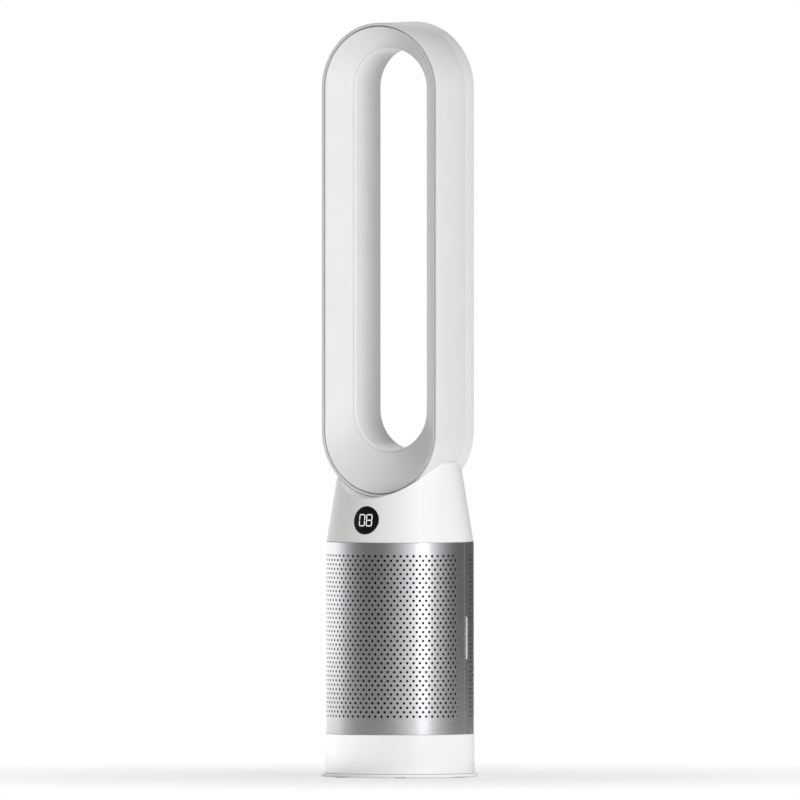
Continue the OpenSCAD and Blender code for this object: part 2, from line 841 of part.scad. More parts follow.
module motor_bearings() {
  color("#8f9397") {
    ring(shaft_r + shaft_gap, bearing_r, cup_z, cup_z + bearing_h);
    ring(shaft_r + shaft_gap, bearing_r, upper_bearing_z, cover_z);
  }
}

module diffuser() {
  color("#d5d6d7") {
    ring(bearing_r + shaft_gap, cup_r, cup_z, cup_z + cup_wall);
    ring(bearing_r + shaft_gap, bearing_r + cup_wall, cup_z, cup_z + bearing_h);
    ring(cup_r - cup_wall, cup_r, cup_z, cover_z);
    for (i = [0:vane_count - 1])
      rotate([0, 0, 360 * i / vane_count])
        block([cup_r - cup_wall / 2, -blade_t / 2, cup_z + cup_wall],
          [bucket_r - bucket_wall - fit, blade_t / 2, bucket_top]);
  }
}

module motor_stator() {
  slots = 9;
  r1 = cup_r - cup_wall - fit;
  r0 = rotor_r + 3 * fit;
  color("#b06a3a") difference() {
    ring(r0, r1, stator_z, stator_z + stator_h);
    for (i = [0:slots - 1])
      rotate([0, 0, 360 * i / slots])
        block([r0 + cup_wall, -cup_wall, stator_z - cut],
          [r1 - 2 * cup_wall, cup_wall, stator_z + stator_h + cut]);
  }
}

module motor_cover() {
  color("#d5d6d7") {
    ring(bearing_r + shaft_gap, bearing_r + cup_wall, upper_bearing_z, cover_z);
    translate([0, 0, cover_z]) cylinder(r1 = cup_r, r2 = cup_r - 2 * cover_t, h = cover_t);
  }
}

module neck_duct() {
  r0 = bucket_r - bucket_wall;
  r1 = mouth_r + 2 * fit;
  color("#d5d6d7") rotate_extrude() polygon([
    [r0, bucket_top], [r1, duct_top - bucket_wall], [r1, duct_top], [r1 + seal_w, duct_top],
    [r0 + 2 * bucket_wall, bucket_top + bucket_wall], [r0 + 2 * bucket_wall, bucket_top - 2 * bucket_wall],
    [bucket_r + fit, bucket_top - 2 * bucket_wall], [bucket_r + fit, bucket_top]
  ]);
}

// The loop's outer cylinder, run on to front and rear
module loop_end(gap) {
  translate([0, far / 2, cz_bottom]) rotate([90, 0, 0]) cylinder(r = loop_r + gap, h = far);
}

module neck_seal() {
  color("#3a3a3c") difference() {
    ring(mouth_r + 2 * fit, mouth_r + seal_w, duct_top, cz_bottom);
    loop_end(fit);
  }
}

module loop_brackets() {
  color("#bfc1c3") for (side = [-1, 1]) difference() {
    block([side * bracket_x - bracket_t / 2, -bracket_w / 2, cone_z + deck_t],
      [side * bracket_x + bracket_t / 2, bracket_w / 2, cz_bottom]);
    loop_end(loop_gap + saddle_t + fit);
    translate([-far, -lead_y, deck_top + 3 * lead_r]) rotate([0, 90, 0])
      cylinder(r = lead_r + 2 * fit, h = 2 * far);
  }
}

// Upper body
module display_place() {
  translate([0, -cone_r(display_z), display_z]) rotate([90 - cone_tilt, 0, 0]) children();
}

module cone_solid(inset, top) {
  translate([0, 0, cone_z])
    cylinder(r1 = cone_r0 - inset, r2 = cone_r0 - inset + (cone_r1 - cone_r0) * top / cone_h, h = top);
}

module upper_body() {
  color("#f8f8f8") difference() {
    union() {
      difference() {
        cone_solid(0, cone_trim);
        cone_solid(cone_wall, cone_h);
      }
      intersection() {
        cone_solid(0, cone_h);
        display_place() translate([0, 0, -collar_depth]) cylinder(r = collar_r, h = collar_depth);
      }
      ring(cone_r0 - cone_wall - ledge_w, cone_r0 - cone_wall / 2, cone_z, cone_z + deck_t);
      intersection() {
        cone_solid(cone_wall / 2, cone_trim);
        loop_end(loop_gap + saddle_t);
      }
    }
    cylinder(r = mouth_r + seal_w + run, h = loop_z1);
    display_place() translate([0, 0, -2 * collar_depth])
      cylinder(r = display_r + display_gap, h = 4 * collar_depth);
    loop_end(loop_gap);
  }
}

// Display
module display_window() {
  color("#101214") difference() {
    intersection() {
      cone_solid(0, cone_h);
      display_place() translate([0, 0, -collar_depth]) cylinder(r = display_r, h = 2 * collar_depth);
    }
    cone_solid(lens_t, cone_h + cut);
  }
}

module display_module() {
  color("#202326") display_place() translate([0, 0, -module_front - module_t])
    cylinder(r = module_r, h = module_t);
}

module display_board() {
  color("#3f7d4c") display_place() {
    translate([0, 0, -collar_depth - board_t]) cylinder(r = collar_r, h = board_t);
    translate([0, 0, -collar_depth]) cylinder(r = board_t, h = switch_h);
  }
}

// Loop: every piece is a section in distance from the centre line and depth, swept round the loop.
// Between the rim and the air slot the section's centre moves up at the lower end, which makes the sill.
function sill_share(r) = max(0, min(1, (funnel_r0 - r) / (funnel_r0 - funnel_r1)));
function end_point(p, a, top) =
  let (cz = top ? cz_top : cz_bottom + (cz_sill - cz_bottom) * sill_share(p.x))
  [p.x * cos(a), p.y, cz + p.x * sin(a)];

module swept(section) {
  n = len(section);
  stations = concat(
    [for (i = [0:loop_steps]) [180 * i / loop_steps, true]],
    [for (i = [0:loop_steps]) [180 + 180 * i / loop_steps, false]]
  );
  m = len(stations);
  points = [for (s = stations, p = section) end_point(p, s[0], s[1])];
  faces = [for (j = [0:m - 1], i = [0:n - 1], half = [0, 1])
    let (a = j * n, b = ((j + 1) % m) * n, k = (i + 1) % n)
    half == 0 ? [a + i, b + i, b + k] : [a + i, b + k, a + k]];
  polyhedron(points, faces);
}

function arc(c, r, a0, a1) =
  [for (i = [0:edge_steps]) let (a = a0 + (a1 - a0) * i / edge_steps) c + r * [cos(a), sin(a)]];

module loop_mouth() {
  translate([0, 0, loop_z0 - cut]) cylinder(r = mouth_r, h = 0.3 * loop_r);
}

module loop_outer_shell() {
  rim_d = 2 * rim_w;
  color("#e9e9e9") difference() {
    swept([
      [loop_r - lip / 2, -loop_front], [loop_r, -loop_front + lip / 2], [loop_r, seam_y],
      [loop_r - loop_wall, seam_y], [loop_r - loop_wall, -loop_front + rim_d],
      [loop_r - rim_w, -loop_front + rim_d - lip], [loop_r - rim_w, -loop_front + lip / 2],
      [loop_r - rim_w + lip / 2, -loop_front]
    ]);
    loop_mouth();
  }
}

module loop_rear_shell() {
  w = loop_wall;
  back = rear_y - w;
  tongue_r = loop_r - w - run;
  inner_r = opening_r + w;
  color("#e6e6e6") difference() {
    swept(concat(
      [[loop_r, seam_y + run]],
      arc([loop_r - outer_edge_r, rear_y - outer_edge_r], outer_edge_r, 0, 90),
      arc([opening_r + inner_edge_r, rear_y - inner_edge_r], inner_edge_r, 90, 180),
      [[opening_r, inner_seam_y], [inner_r, inner_seam_y]],
      arc([opening_r + inner_edge_r, rear_y - inner_edge_r], inner_edge_r - w, 180, 90),
      arc([loop_r - outer_edge_r, rear_y - outer_edge_r], outer_edge_r - w, 90, 0),
      [[loop_r - w, seam_y + run + w], [tongue_r - tongue_t, seam_y + run + w],
        [tongue_r - tongue_t, seam_y - tongue], [tongue_r, seam_y - tongue], [tongue_r, seam_y + run]]
    ));
    loop_mouth();
  }
}

module loop_front_nozzle() {
  run_r = funnel_r0 - funnel_r1;
  run_y = loop_front - slot_y + slot_lap;
  slope = atan2(run_y, run_r);
  back = nozzle_wall * [sin(slope), cos(slope)];
  collar_r0 = nozzle_r - 0.9 * nozzle_wall;
  end_y = -slot_y + slot_lap;
  meet_y = -loop_front + back.y + (funnel_r0 + back.x - collar_r0) * tan(slope);
  color("#ededed") swept([
    [nozzle_r - lip / 2, -loop_front + lip / 5], [nozzle_r, -loop_front + lip],
    [nozzle_r, -loop_front + 3 * rim_w], [collar_r0, -loop_front + 3 * rim_w], [collar_r0, meet_y],
    [funnel_r1 + back.x, end_y + back.y], [funnel_r1, end_y], [funnel_r0, -loop_front + lip / 3]
  ]);
}

module loop_inner_wall() {
  color("#dcdcdc") swept([
    [opening_r, -slot_y - slot_lap / 2 + wall_in / 2], [opening_r + wall_in / 2, -slot_y - slot_lap / 2],
    [opening_r + wall_in, -slot_y - slot_lap / 2 + wall_in / 2], [opening_r + wall_in, inner_seam_y - run],
    [opening_r, inner_seam_y - run]
  ]);
}

module loop_ribs() {
  x0 = opening_r + wall_in + fit;
  x1 = loop_r - loop_wall - fit;
  span = cz_top - cz_sill;
  rib_t = loop_wall;
  color("#d0d0d0") for (side = [0, 1], i = [0:rib_count - 1]) mirror([side, 0, 0])
    block([x0, -slot_y / 3, cz_sill + span * (i + 0.5) / rib_count - rib_t / 2],
      [x1, seam_y - 2 * tongue, cz_sill + span * (i + 0.5) / rib_count + rib_t / 2]);
}

foot_plate();
foot_pads();
cord_housing();
cord_gland();
oscillation_ring_gear();
slide_ring();
retaining_ring();
turntable();
base_shell();
oscillation_motor();
oscillation_pinion();
power_board();
lower_deck();
filter_cage();
side_pillar_right();
side_pillar_left();
motor_lead();
deck_screws();
shroud_front();
shroud_rear();
fine_filter_frame_front();
fine_filter_frame_rear();
fine_filter_pleats_front();
fine_filter_pleats_rear();
dust_screen_front();
dust_screen_rear();
carbon_filter_front();
carbon_filter_rear();
release_button_right();
release_button_left();
button_spring_right();
button_spring_left();
upper_deck();
intake_bellmouth();
rubber_mounts();
motor_bucket();
acoustic_foam();
impeller();
motor_shaft();
motor_bearings();
diffuser();
motor_stator();
motor_cover();
neck_duct();
neck_seal();
loop_brackets();
upper_body();
display_window();
display_module();
display_board();
loop_outer_shell();
loop_rear_shell();
loop_front_nozzle();
loop_inner_wall();
loop_ribs();
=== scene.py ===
from math import acos, asin, atan, atan2, cos, degrees, pi, radians, sin, sqrt, tan

import bpy
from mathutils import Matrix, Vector


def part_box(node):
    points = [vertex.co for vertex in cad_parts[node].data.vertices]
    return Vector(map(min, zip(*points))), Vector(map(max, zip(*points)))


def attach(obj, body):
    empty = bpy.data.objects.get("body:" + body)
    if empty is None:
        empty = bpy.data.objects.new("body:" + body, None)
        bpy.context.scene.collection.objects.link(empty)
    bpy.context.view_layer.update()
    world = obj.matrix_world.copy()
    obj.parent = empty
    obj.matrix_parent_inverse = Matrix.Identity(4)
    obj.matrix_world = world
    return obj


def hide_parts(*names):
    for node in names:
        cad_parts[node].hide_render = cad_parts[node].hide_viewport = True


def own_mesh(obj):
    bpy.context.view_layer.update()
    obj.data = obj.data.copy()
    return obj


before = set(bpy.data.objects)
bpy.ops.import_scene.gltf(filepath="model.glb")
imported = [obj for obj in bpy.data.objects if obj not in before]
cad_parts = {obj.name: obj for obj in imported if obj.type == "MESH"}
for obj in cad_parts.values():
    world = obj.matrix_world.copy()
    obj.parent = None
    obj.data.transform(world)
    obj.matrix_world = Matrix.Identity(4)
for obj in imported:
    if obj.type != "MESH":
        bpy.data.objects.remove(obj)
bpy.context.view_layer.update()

# Camera: a long lens from the right of the front, a little above level, so the picture is
# as good as parallel.
MM = 0.001
view_azimuth = radians(29.6)
view_elevation = radians(1.3)
view_centre = Vector((0, 0, 524 * MM))
view_width = 1113 * MM
view_distance = 6.0

to_camera = Vector((
    sin(view_azimuth) * cos(view_elevation),
    -cos(view_azimuth) * cos(view_elevation),
    sin(view_elevation),
))
camera_data = bpy.data.cameras.new("camera")
camera_data.type = "ORTHO"
camera_data.ortho_scale = view_width
camera = bpy.data.objects.new("camera", camera_data)
camera.location = view_centre + view_distance * to_camera
camera.rotation_euler = (-to_camera).to_track_quat("-Z", "Y").to_euler()
bpy.context.scene.collection.objects.link(camera)
bpy.context.scene.camera = camera


# Foot: a plate moulded in white ABS with the spigot that the machine turns on, and rubber
# pads pressed into it from below. The cord leaves through a bush in a small housing behind.
def linear(colour):
    """Turns an sRGB hex value to the linear colour that a shader takes."""
    levels = [int(colour[i:i + 2], 16) / 255 for i in (1, 3, 5)]
    return [c / 12.92 if c <= 0.04045 else ((c + 0.055) / 1.055) ** 2.4 for c in levels] + [1.0]


def add(material, kind, values=None, links=None, stops=None, **settings):
    """Adds a node to a material, or takes one that it starts with, and sets and links it."""
    nodes = material.node_tree.nodes
    starts_with = kind in ("Principled BSDF", "Material Output", "Background")
    node = nodes[kind] if starts_with else nodes.new("ShaderNode" + kind)
    for name, value in settings.items():
        setattr(node, name, value)
    for key, value in (values or {}).items():
        node.inputs[key].default_value = value
    for key, socket in (links or {}).items():
        material.node_tree.links.new(socket, node.inputs[key])
    for (place, colour), stop in zip(stops or [], node.color_ramp.elements if stops else []):
        stop.position = place
        stop.color = colour
    return node


def new_material(name):
    material = bpy.data.materials.new(name)
    material.use_nodes = True
    return material


def shaded(colour, share):
    """A linear colour made lighter or darker by a share."""
    return [min(1.0, c * share) for c in linear(colour)[:3]] + [1.0]


def gloss_round(roughness, vary):
    """Settings that turn the middle of a noise into roughness a little below and above a value."""
    return {"From Min": 0.3, "From Max": 0.7,
            "To Min": roughness - vary, "To Max": roughness + vary}


def shade(material, tone, height, bump, shader, gloss=None, invert=False):
    """Sets the shader: its tone, bumps (strength, depth) and, with gloss, roughness by height."""
    bumps = add(material, "Bump", {"Strength": bump[0], "Distance": bump[1]}, {"Height": height},
                invert=invert)
    links = {"Base Color": tone, "Normal": bumps.outputs["Normal"]}
    if gloss:
        links["Roughness"] = add(material, "MapRange", gloss, {"Value": height}).outputs["Result"]
    add(material, "Principled BSDF", shader, links)
    return material


def moulded(name, colour, roughness, grain, depth, flow=45 * MM, spread=0.02, vary=0.04, ior=1.53):
    """A moulded plastic: the tool's grain as fine bumps, and a slow drift of tone and gloss."""
    material = new_material(name)
    place = add(material, "TexCoord").outputs["Object"]
    slow = add(material, "TexNoise", {"Scale": 1 / flow, "Detail": 3.0}, {"Vector": place})
    fine = add(material, "TexNoise", {"Scale": 1 / grain, "Detail": 2.0}, {"Vector": place})
    tone = add(material, "ValToRGB", links={"Fac": slow.outputs["Fac"]},
               stops=[(0.3, shaded(colour, 1 - spread)), (0.7, shaded(colour, 1 + spread))])
    return shade(material, tone.outputs["Color"], fine.outputs["Fac"], (1.0, depth), {"IOR": ior},
                 gloss_round(roughness, vary))


def dress(material, *nodes):
    """Gives CAD nodes that keep their shape a material, and shades their curved faces smooth."""
    for node in nodes:
        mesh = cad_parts[node].data
        mesh.materials.clear()
        mesh.materials.append(material)
        mesh.shade_smooth()
        mesh.set_sharp_from_angle(angle=radians(sharp_angle))


# edges that turn by more than this many degrees stay sharp
sharp_angle = 32

# fine spark-eroded grain of the tool: it breaks up highlights on the plate without sparkle
foot_abs = moulded("moulded_abs_matt_white", "#f6f6f4", 0.42, 1.2 * MM, 0.012 * MM)
# softer grade for pads and bush: light grey, dull
bush_rubber = moulded("moulded_rubber_light_grey", "#d6d6d4", 0.6, 0.9 * MM, 0.02 * MM,
                      spread=0.05)

dress(foot_abs, "foot_plate", "cord_housing")
dress(bush_rubber, "foot_pads", "cord_gland")


# Oscillation drive: a motor on the turntable rolls its pinion round the ring gear of the foot.
# Gears and slide ring are acetal, the turntable is nylon with glass fibre, the can is zinc-plated.
def patterned(name, kind, pattern, stops, bump, shader, gloss=None, streaks=None, invert=False,
              **settings):
    """A material whose one pattern gives its tone, its bumps and, with gloss, its roughness."""
    material = new_material(name)
    place = add(material, "TexCoord").outputs["Object"]
    if streaks:
        place = add(material, "Mapping", {"Scale": streaks}, {"Vector": place}).outputs["Vector"]
    texture = add(material, kind, pattern, {"Vector": place}, **settings)
    field = texture.outputs["Distance" if kind == "TexVoronoi" else "Fac"]
    tone = add(material, "ValToRGB", links={"Fac": field}, stops=stops)
    return shade(material, tone.outputs["Color"], field, bump, shader, gloss, invert)


def fibre_filled(name, colour, roughness):
    """Glass-filled nylon: short fibres at the surface show as faint pale streaks."""
    # fibres are 0.3 mm long and drawn as 2 mm so that they show
    return patterned(name, "TexVoronoi", {"Scale": 1.0},
                     [(0.05, shaded(colour, 1.22)), (0.4, linear(colour))], (0.6, 0.02 * MM),
                     {"IOR": 1.53}, {"To Min": roughness - 0.08, "To Max": roughness + 0.06},
                     streaks=(500, 500, 160), feature="F1")


def plated(name, colour, roughness, streaks=(1, 1, 1), grain=1.5 * MM):
    """Bright metal: fine grain, or rolling and turning marks where the streaks are stretched."""
    return patterned(name, "TexNoise", {"Scale": 1.0, "Detail": 4.0},
                     [(0.25, shaded(colour, 0.92)), (0.75, shaded(colour, 1.05))],
                     (0.5, 0.008 * MM), {"Metallic": 1.0}, gloss_round(roughness, 0.06),
                     streaks=[s / grain for s in streaks])


# natural acetal: creamy and waxy, a broad soft highlight
acetal = moulded("moulded_acetal_natural", "#dcd8c8", 0.36, 1.0 * MM, 0.008 * MM, spread=0.03,
                 ior=1.48)
# grey nylon with glass fibre: dull, a little blotchy
grey_nylon = fibre_filled("glass_filled_nylon_grey", "#c4c5c5", 0.5)
# zinc plating on a drawn can: pale grey-blue with turning marks round it
zinc_can = plated("zinc_plated_steel_can", "#aeb1b4", 0.34, streaks=(0.15, 0.15, 1.6))
# spring steel, oiled and dark grey
ring_steel = plated("spring_steel_dark", "#7d8084", 0.4)

dress(acetal, "oscillation_ring_gear", "oscillation_pinion", "slide_ring")
dress(grey_nylon, "turntable")
dress(zinc_can, "oscillation_motor")
dress(ring_steel, "retaining_ring")


# Power board: a green glass-epoxy board on four posts with its connector, two capacitors
# and two converter blocks. Solder resist over copper tracks gives the green its pattern.
def circuit_board(name, resist, track, track_pitch, parts_above):
    """Green solder resist with tracks showing through, and dark parts above the board's face."""
    material = new_material(name)
    place = add(material, "TexCoord").outputs["Object"]
    tracks = add(material, "TexBrick", {"Color1": linear(resist), "Color2": linear(resist),
                                        "Mortar": linear(track), "Scale": 1 / track_pitch,
                                        "Mortar Size": 0.03, "Brick Width": 1.6, "Row Height": 0.5},
                 {"Vector": place})
    parts = add(material, "TexNoise", {"Scale": 400.0, "Detail": 2.0}, {"Vector": place})
    dark = add(material, "ValToRGB", links={"Fac": parts.outputs["Fac"]},
               stops=[(0.3, linear("#24272b")), (0.7, linear("#32363b"))])
    axes = add(material, "SeparateXYZ", links={"Vector": place})
    high = add(material, "Math", {1: parts_above}, {0: axes.outputs["Z"]}, operation="GREATER_THAN")
    colour = add(material, "Mix", links={
        "Factor": high.outputs["Value"], 6: tracks.outputs["Color"], 7: dark.outputs["Color"],
    }, data_type="RGBA")
    return shade(material, colour.outputs[2], tracks.outputs["Fac"], (0.6, 0.05 * MM),
                 {"Roughness": 0.35, "IOR": 1.5})


# solder resist: deep green, half gloss, tracks 2.5 mm apart as paler lines
power_board_green = circuit_board("solder_resist_green_power", "#2f7a45", "#4f9a5c", 5 * MM,
                                  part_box("power_board")[0].z + 7.7 * MM)
dress(power_board_green, "power_board")


# Base: one deep ring moulded in white ABS, polished in the tool, flared a little at the foot
# and rounded at its top edge. The deck inside it closes it and carries the cage.
def rounded(corners, steps=5):
    """A closed outline of (x, y, radius) corners with each corner drawn as an arc."""
    outline = []
    for i, (x, y, radius) in enumerate(corners):
        here = Vector((x, y))
        back = (Vector(corners[i - 1][:2]) - here).normalized()
        ahead = (Vector(corners[(i + 1) % len(corners)][:2]) - here).normalized()
        if radius == 0:
            outline.append(here)
            continue
        half = back.angle(ahead) / 2
        centre = here + (back + ahead).normalized() * (radius / sin(half))
        first = here + back * (radius / tan(half)) - centre
        turn = (pi - 2 * half) * (1 if back.x * ahead.y - back.y * ahead.x < 0 else -1)
        for k in range(steps + 1):
            a = turn * k / steps
            outline.append(centre + Vector((first.x * cos(a) - first.y * sin(a),
                                            first.x * sin(a) + first.y * cos(a))))
    return outline


def piece(name, points, faces, material, body, nodes, slot=None):
    """Makes a piece from points in millimetres, which rides on a body and replaces CAD nodes."""
    mesh = bpy.data.meshes.new(name)
    mesh.from_pydata([Vector(p) * MM for p in points], [], faces)
    mesh.materials.append(material)
    mesh.validate()
    mesh.shade_smooth()
    mesh.set_sharp_from_angle(angle=radians(sharp_angle))
    thing = bpy.data.objects.new(name, mesh)
    bpy.context.scene.collection.objects.link(thing)
    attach(thing, body)
    if nodes:
        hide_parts(*nodes)
    return thing


def skin(rows, size, round_again=False):
    """Quads between closed rows of points; the last row may join the first one again."""
    return [(j * size + i, j * size + (i + 1) % size,
             (j + 1) % rows * size + (i + 1) % size, (j + 1) % rows * size + i)
            for j in range(rows if round_again else rows - 1) for i in range(size)]


def turned(outline, steps=192, start=0.0, sweep=360.0):
    """Points and faces of a closed outline of (radius, height), turned about the axis."""
    whole = sweep == 360.0
    count = steps if whole else steps + 1
    size = len(outline)
    points = []
    for j in range(count):
        a = radians(start + sweep * j / steps)
        points += [(r * cos(a), r * sin(a), z) for r, z in outline]
    faces = [f[::-1] for f in skin(count, size, whole)]
    if not whole:
        faces += [tuple(range(size)), tuple(range(count * size - 1, (count - 1) * size - 1, -1))]
    return points, faces


base_r = 103.6
base_z0 = 5.3
base_z1 = 60.0
base_wall = 2.5
base_flare = 1.5
flare_h = 55 / 3
flare_steps = 10
rim_in = 6.0
rim_t = 3.0

# semi-gloss white ABS from a polished tool: faint ripples bend its highlights, 14 mm from crest
# to crest
gloss_abs = moulded("moulded_abs_gloss_white", "#f3f3f2", 0.3, 14 * MM, 0.004 * MM, spread=0.006,
                    vary=0.015)
# inner mouldings are left matt
inner_abs = moulded("moulded_abs_inside_white", "#e3e3e2", 0.5, 1.2 * MM, 0.015 * MM)

flare = [(base_r + base_flare * (1 - i / flare_steps) ** 2, base_z0 + flare_h * i / flare_steps,
          0 if i else 0.8) for i in range(flare_steps)]
base_outline = rounded([
    *flare, (base_r, base_z0 + flare_h, 0), (base_r, base_z1, 0.9), (base_r - rim_in, base_z1, 0.4),
    (base_r - rim_in, base_z1 - rim_t, 0), (base_r - base_wall, base_z1 - rim_t, 0),
    (base_r - base_wall, base_z0, 0.4),
])
piece("base_ring", *turned(base_outline), gloss_abs, "tower", ["base_shell"])
dress(inner_abs, "lower_deck")


# Filter core: an open cage in white ABS and two hollow pillars in grey, screwed to both decks.
# The pillars' thin ribs close the seams of the shroud, and the motor's lead runs in one.

# silicone-coated glass sleeve: brick red, its strands cross at 1.5 mm; the ridges are drawn paler
# (a painted sheen) and the dips between them darker (painted shade)
sleeve_red = "#9c312b"
sleeve_painted_sheen = patterned("woven_sleeve_red_painted_sheen", "TexWave",
                        {"Scale": 1 / (9 * MM), "Distortion": 0.6, "Detail": 1.0},
                        [(0.2, shaded(sleeve_red, 0.8)), (0.8, shaded(sleeve_red, 1.15))],
                        (0.7, 0.1 * MM), {"Roughness": 0.5, "IOR": 1.45},
                        bands_direction="DIAGONAL")
# zinc-plated screws: bright, fine grain
zinc_screw = plated("zinc_plated_steel_screw", "#b5b7b9", 0.3)
# pillars show in the seam as a fine paler line, and are moulded in a grey close to the metal
pillar_abs = moulded("moulded_abs_pillar_grey", "#cbcccd", 0.4, 1.2 * MM, 0.01 * MM)

dress(inner_abs, "filter_cage")
dress(pillar_abs, "side_pillar_right", "side_pillar_left")
dress(sleeve_painted_sheen, "motor_lead")
dress(zinc_screw, "deck_screws")


# Shroud: two half drums of 1 mm sheet, punched with staggered round holes, rolled and finished
# in satin silver. They meet the pillars' ribs in two upright seams, and lift off by the buttons.
shroud_r = 102.9
shroud_t = 1.0
shroud_z0 = 60.3
shroud_z1 = 327.0
seam_half = 0.6
hole_r = 1.85
rows = 37
row_pitch = 6.2
first_row_z = 85.5
cell_step = 5.03
quarter = cell_step / 4
cells = 33
field_edge = cells * cell_step / 2
seam_angle = degrees(acos(seam_half / shroud_r))
# window of a release button, and the strip between it and the seam
notch_half = 30.8
notch_z = 194.5
notch_y = 10.8
strip_y = 4.2
notch_angle = degrees(acos(notch_y / shroud_r))
strip_angle = degrees(acos(strip_y / shroud_r))
# plain bands below and above the holes: one quad's height in each
low_band = 6
high_band = 7


def sheet_of(points, faces, r_outer, r_inner, turn):
    """A curved sheet from (angle, height) points: outer and inner face and every cut edge."""
    places = []
    for r in (r_outer, r_inner):
        for angle, z in points:
            a = radians(angle) + turn
            places.append((r * sin(a), -r * cos(a), z))
    size = len(points)
    edges = set((f[i], f[(i + 1) % len(f)]) for f in faces for i in range(len(f)))
    walls = [(b, a, a + size, b + size) for a, b in sorted(edges) if (b, a) not in edges]
    inner = [tuple(i + size for i in reversed(f)) for f in faces]
    return places, faces + inner + walls


def punched_half(notched):
    """(angle, height) points and faces of one half of the shroud, with every hole cut in it."""
    index = {}

    def at(angle, z):
        return index.setdefault((round(angle, 4), round(z, 4)), len(index))

    faces = []
    field_z0 = first_row_z - row_pitch / 2
    field_z1 = field_z0 + rows * row_pitch
    ring = [(-2, -1), (-1, -1), (0, -1), (1, -1), (2, -1), (2, 0),
            (2, 1), (1, 1), (0, 1), (-1, 1), (-2, 1), (-2, 0)]
    sides = len(ring)
    for row in range(rows):
        z = first_row_z + row * row_pitch
        count = cells - row % 2
        for cell in range(count):
            middle = (cell - (count - 1) / 2) * cell_step
            outer = [at(middle + i * quarter, z + k * row_pitch / 2) for i, k in ring]
            hole = []
            for i in range(sides):
                # the ring starts at its lower left corner
                a = radians(360 * i / sides - 150)
                hole.append(at(middle + degrees(hole_r * cos(a) / shroud_r),
                               z + hole_r * sin(a)))
            faces += [(outer[i], outer[(i + 1) % sides], hole[(i + 1) % sides], hole[i])
                      for i in range(sides)]
        if row % 2:
            for side in (-1, 1):
                for low in (z - row_pitch / 2, z):
                    for i in (1, 2):
                        a, b = sorted(side * (field_edge - k * quarter) for k in (i, i - 1))
                        high = low + row_pitch / 2
                        faces.append((at(a, low), at(b, low), at(b, high), at(a, high)))
    columns = [-field_edge + i * quarter for i in range(4 * cells + 1)]
    below = [shroud_z0, shroud_z0 + low_band, shroud_z0 + 2 * low_band]
    above = [field_z1 + high_band, shroud_z1]
    for levels in (below + [field_z0], [field_z1] + above):
        for low, high in zip(levels, levels[1:]):
            faces += [(at(a, low), at(b, low), at(b, high), at(a, high))
                      for a, b in zip(columns, columns[1:])]
    levels = below + [field_z0 + i * row_pitch / 2 for i in range(2 * rows + 1)] + above
    moved = list(levels)
    limits = []
    for edge in (notch_z - notch_half, notch_z + notch_half):
        nearest = min(range(len(levels)), key=lambda i: abs(levels[i] - edge))
        moved[nearest] = edge
        limits.append(nearest)
    strip = [field_edge, notch_angle, strip_angle, seam_angle]
    for i, (a, b) in enumerate(zip(strip, strip[1:])):
        z_a = levels if i == 0 else moved
        for k in range(len(levels) - 1):
            if notched and i == 1 and limits[0] <= k < limits[1]:
                continue
            right = (at(a, z_a[k]), at(b, moved[k]), at(b, moved[k + 1]), at(a, z_a[k + 1]))
            left = (at(-b, moved[k]), at(-a, z_a[k]), at(-a, z_a[k + 1]), at(-b, moved[k + 1]))
            faces += [right, left]
    return list(index), faces


# satin silver on steel sheet: soft upright bands of light and dark as on any bright drum; its
# hair-fine marks run round it, 0.1 mm apart, and are drawn 1.5 mm apart so that they show
silver = "#dcdde0"
satin_silver = patterned("satin_silver_sheet", "TexNoise", {"Scale": 1.0, "Detail": 3.0},
                         [(0.3, shaded(silver, 0.985)), (0.7, shaded(silver, 1.012))],
                         (0.3, 0.0015 * MM), {"Metallic": 1.0}, gloss_round(0.27, 0.02),
                         streaks=(18, 18, 650))

for half, notched, turn in (("front", False, 0.0), ("rear", True, pi)):
    places, faces = sheet_of(*punched_half(notched), shroud_r, shroud_r - shroud_t, turn)
    piece("punched_shroud_" + half, places, faces, satin_silver, half + "_shroud",
          ["shroud_" + half])


# Fine filter: a half ring of pleated glass-fibre paper in a dark grey frame, with a black net
# stretched round its folds. It is clipped into its shroud and comes off with it.
def woven_net(name, colour, thread):
    """Plain-woven net: threads cross at right angles; raised crossings are drawn paler (a painted
    highlight) and the low gaps darker (painted shade).
    """
    material = new_material(name)
    place = add(material, "TexCoord").outputs["Object"]
    axes = add(material, "SeparateXYZ", links={"Vector": place})
    angle = add(material, "Math", links={0: axes.outputs["Y"], 1: axes.outputs["X"]},
                operation="ARCTAN2")
    # threads cross at the same pitch round the net, at this radius, and up it
    thread_r = 96 * MM
    waves = []
    for source, pitch in ((angle.outputs["Value"], thread / thread_r), (axes.outputs["Z"], thread)):
        turns = add(material, "Math", {1: pi / pitch}, {0: source}, operation="MULTIPLY")
        waves.append(add(material, "Math", links={0: turns.outputs["Value"]}, operation="SINE"))
    height = add(material, "Math", operation="MULTIPLY",
                 links={i: wave.outputs["Value"] for i, wave in enumerate(waves)})
    level = add(material, "MapRange", {"From Min": -1.0}, {"Value": height.outputs["Value"]})
    tone = add(material, "ValToRGB", links={"Fac": level.outputs["Result"]},
               stops=[(0.3, shaded(colour, 0.5)), (0.7, shaded(colour, 1.3))])
    return shade(material, tone.outputs["Color"], level.outputs["Result"], (0.8, 0.15 * MM),
                 {"Roughness": 0.9, "IOR": 1.45})


def half_ring(r0, r1, z0, z1, corner, corner_steps, gap, steps, turn, ease=0.0):
    """Half a ring of rounded square section; its ends stop at a gap from the middle plane."""
    start = degrees(asin(gap / r0)) + ease
    outline = rounded([(r, z, corner) for r, z in ((r0, z0), (r1, z0), (r1, z1), (r0, z1))],
                      corner_steps)
    return turned(outline, steps, start + turn, 180 - 2 * start)


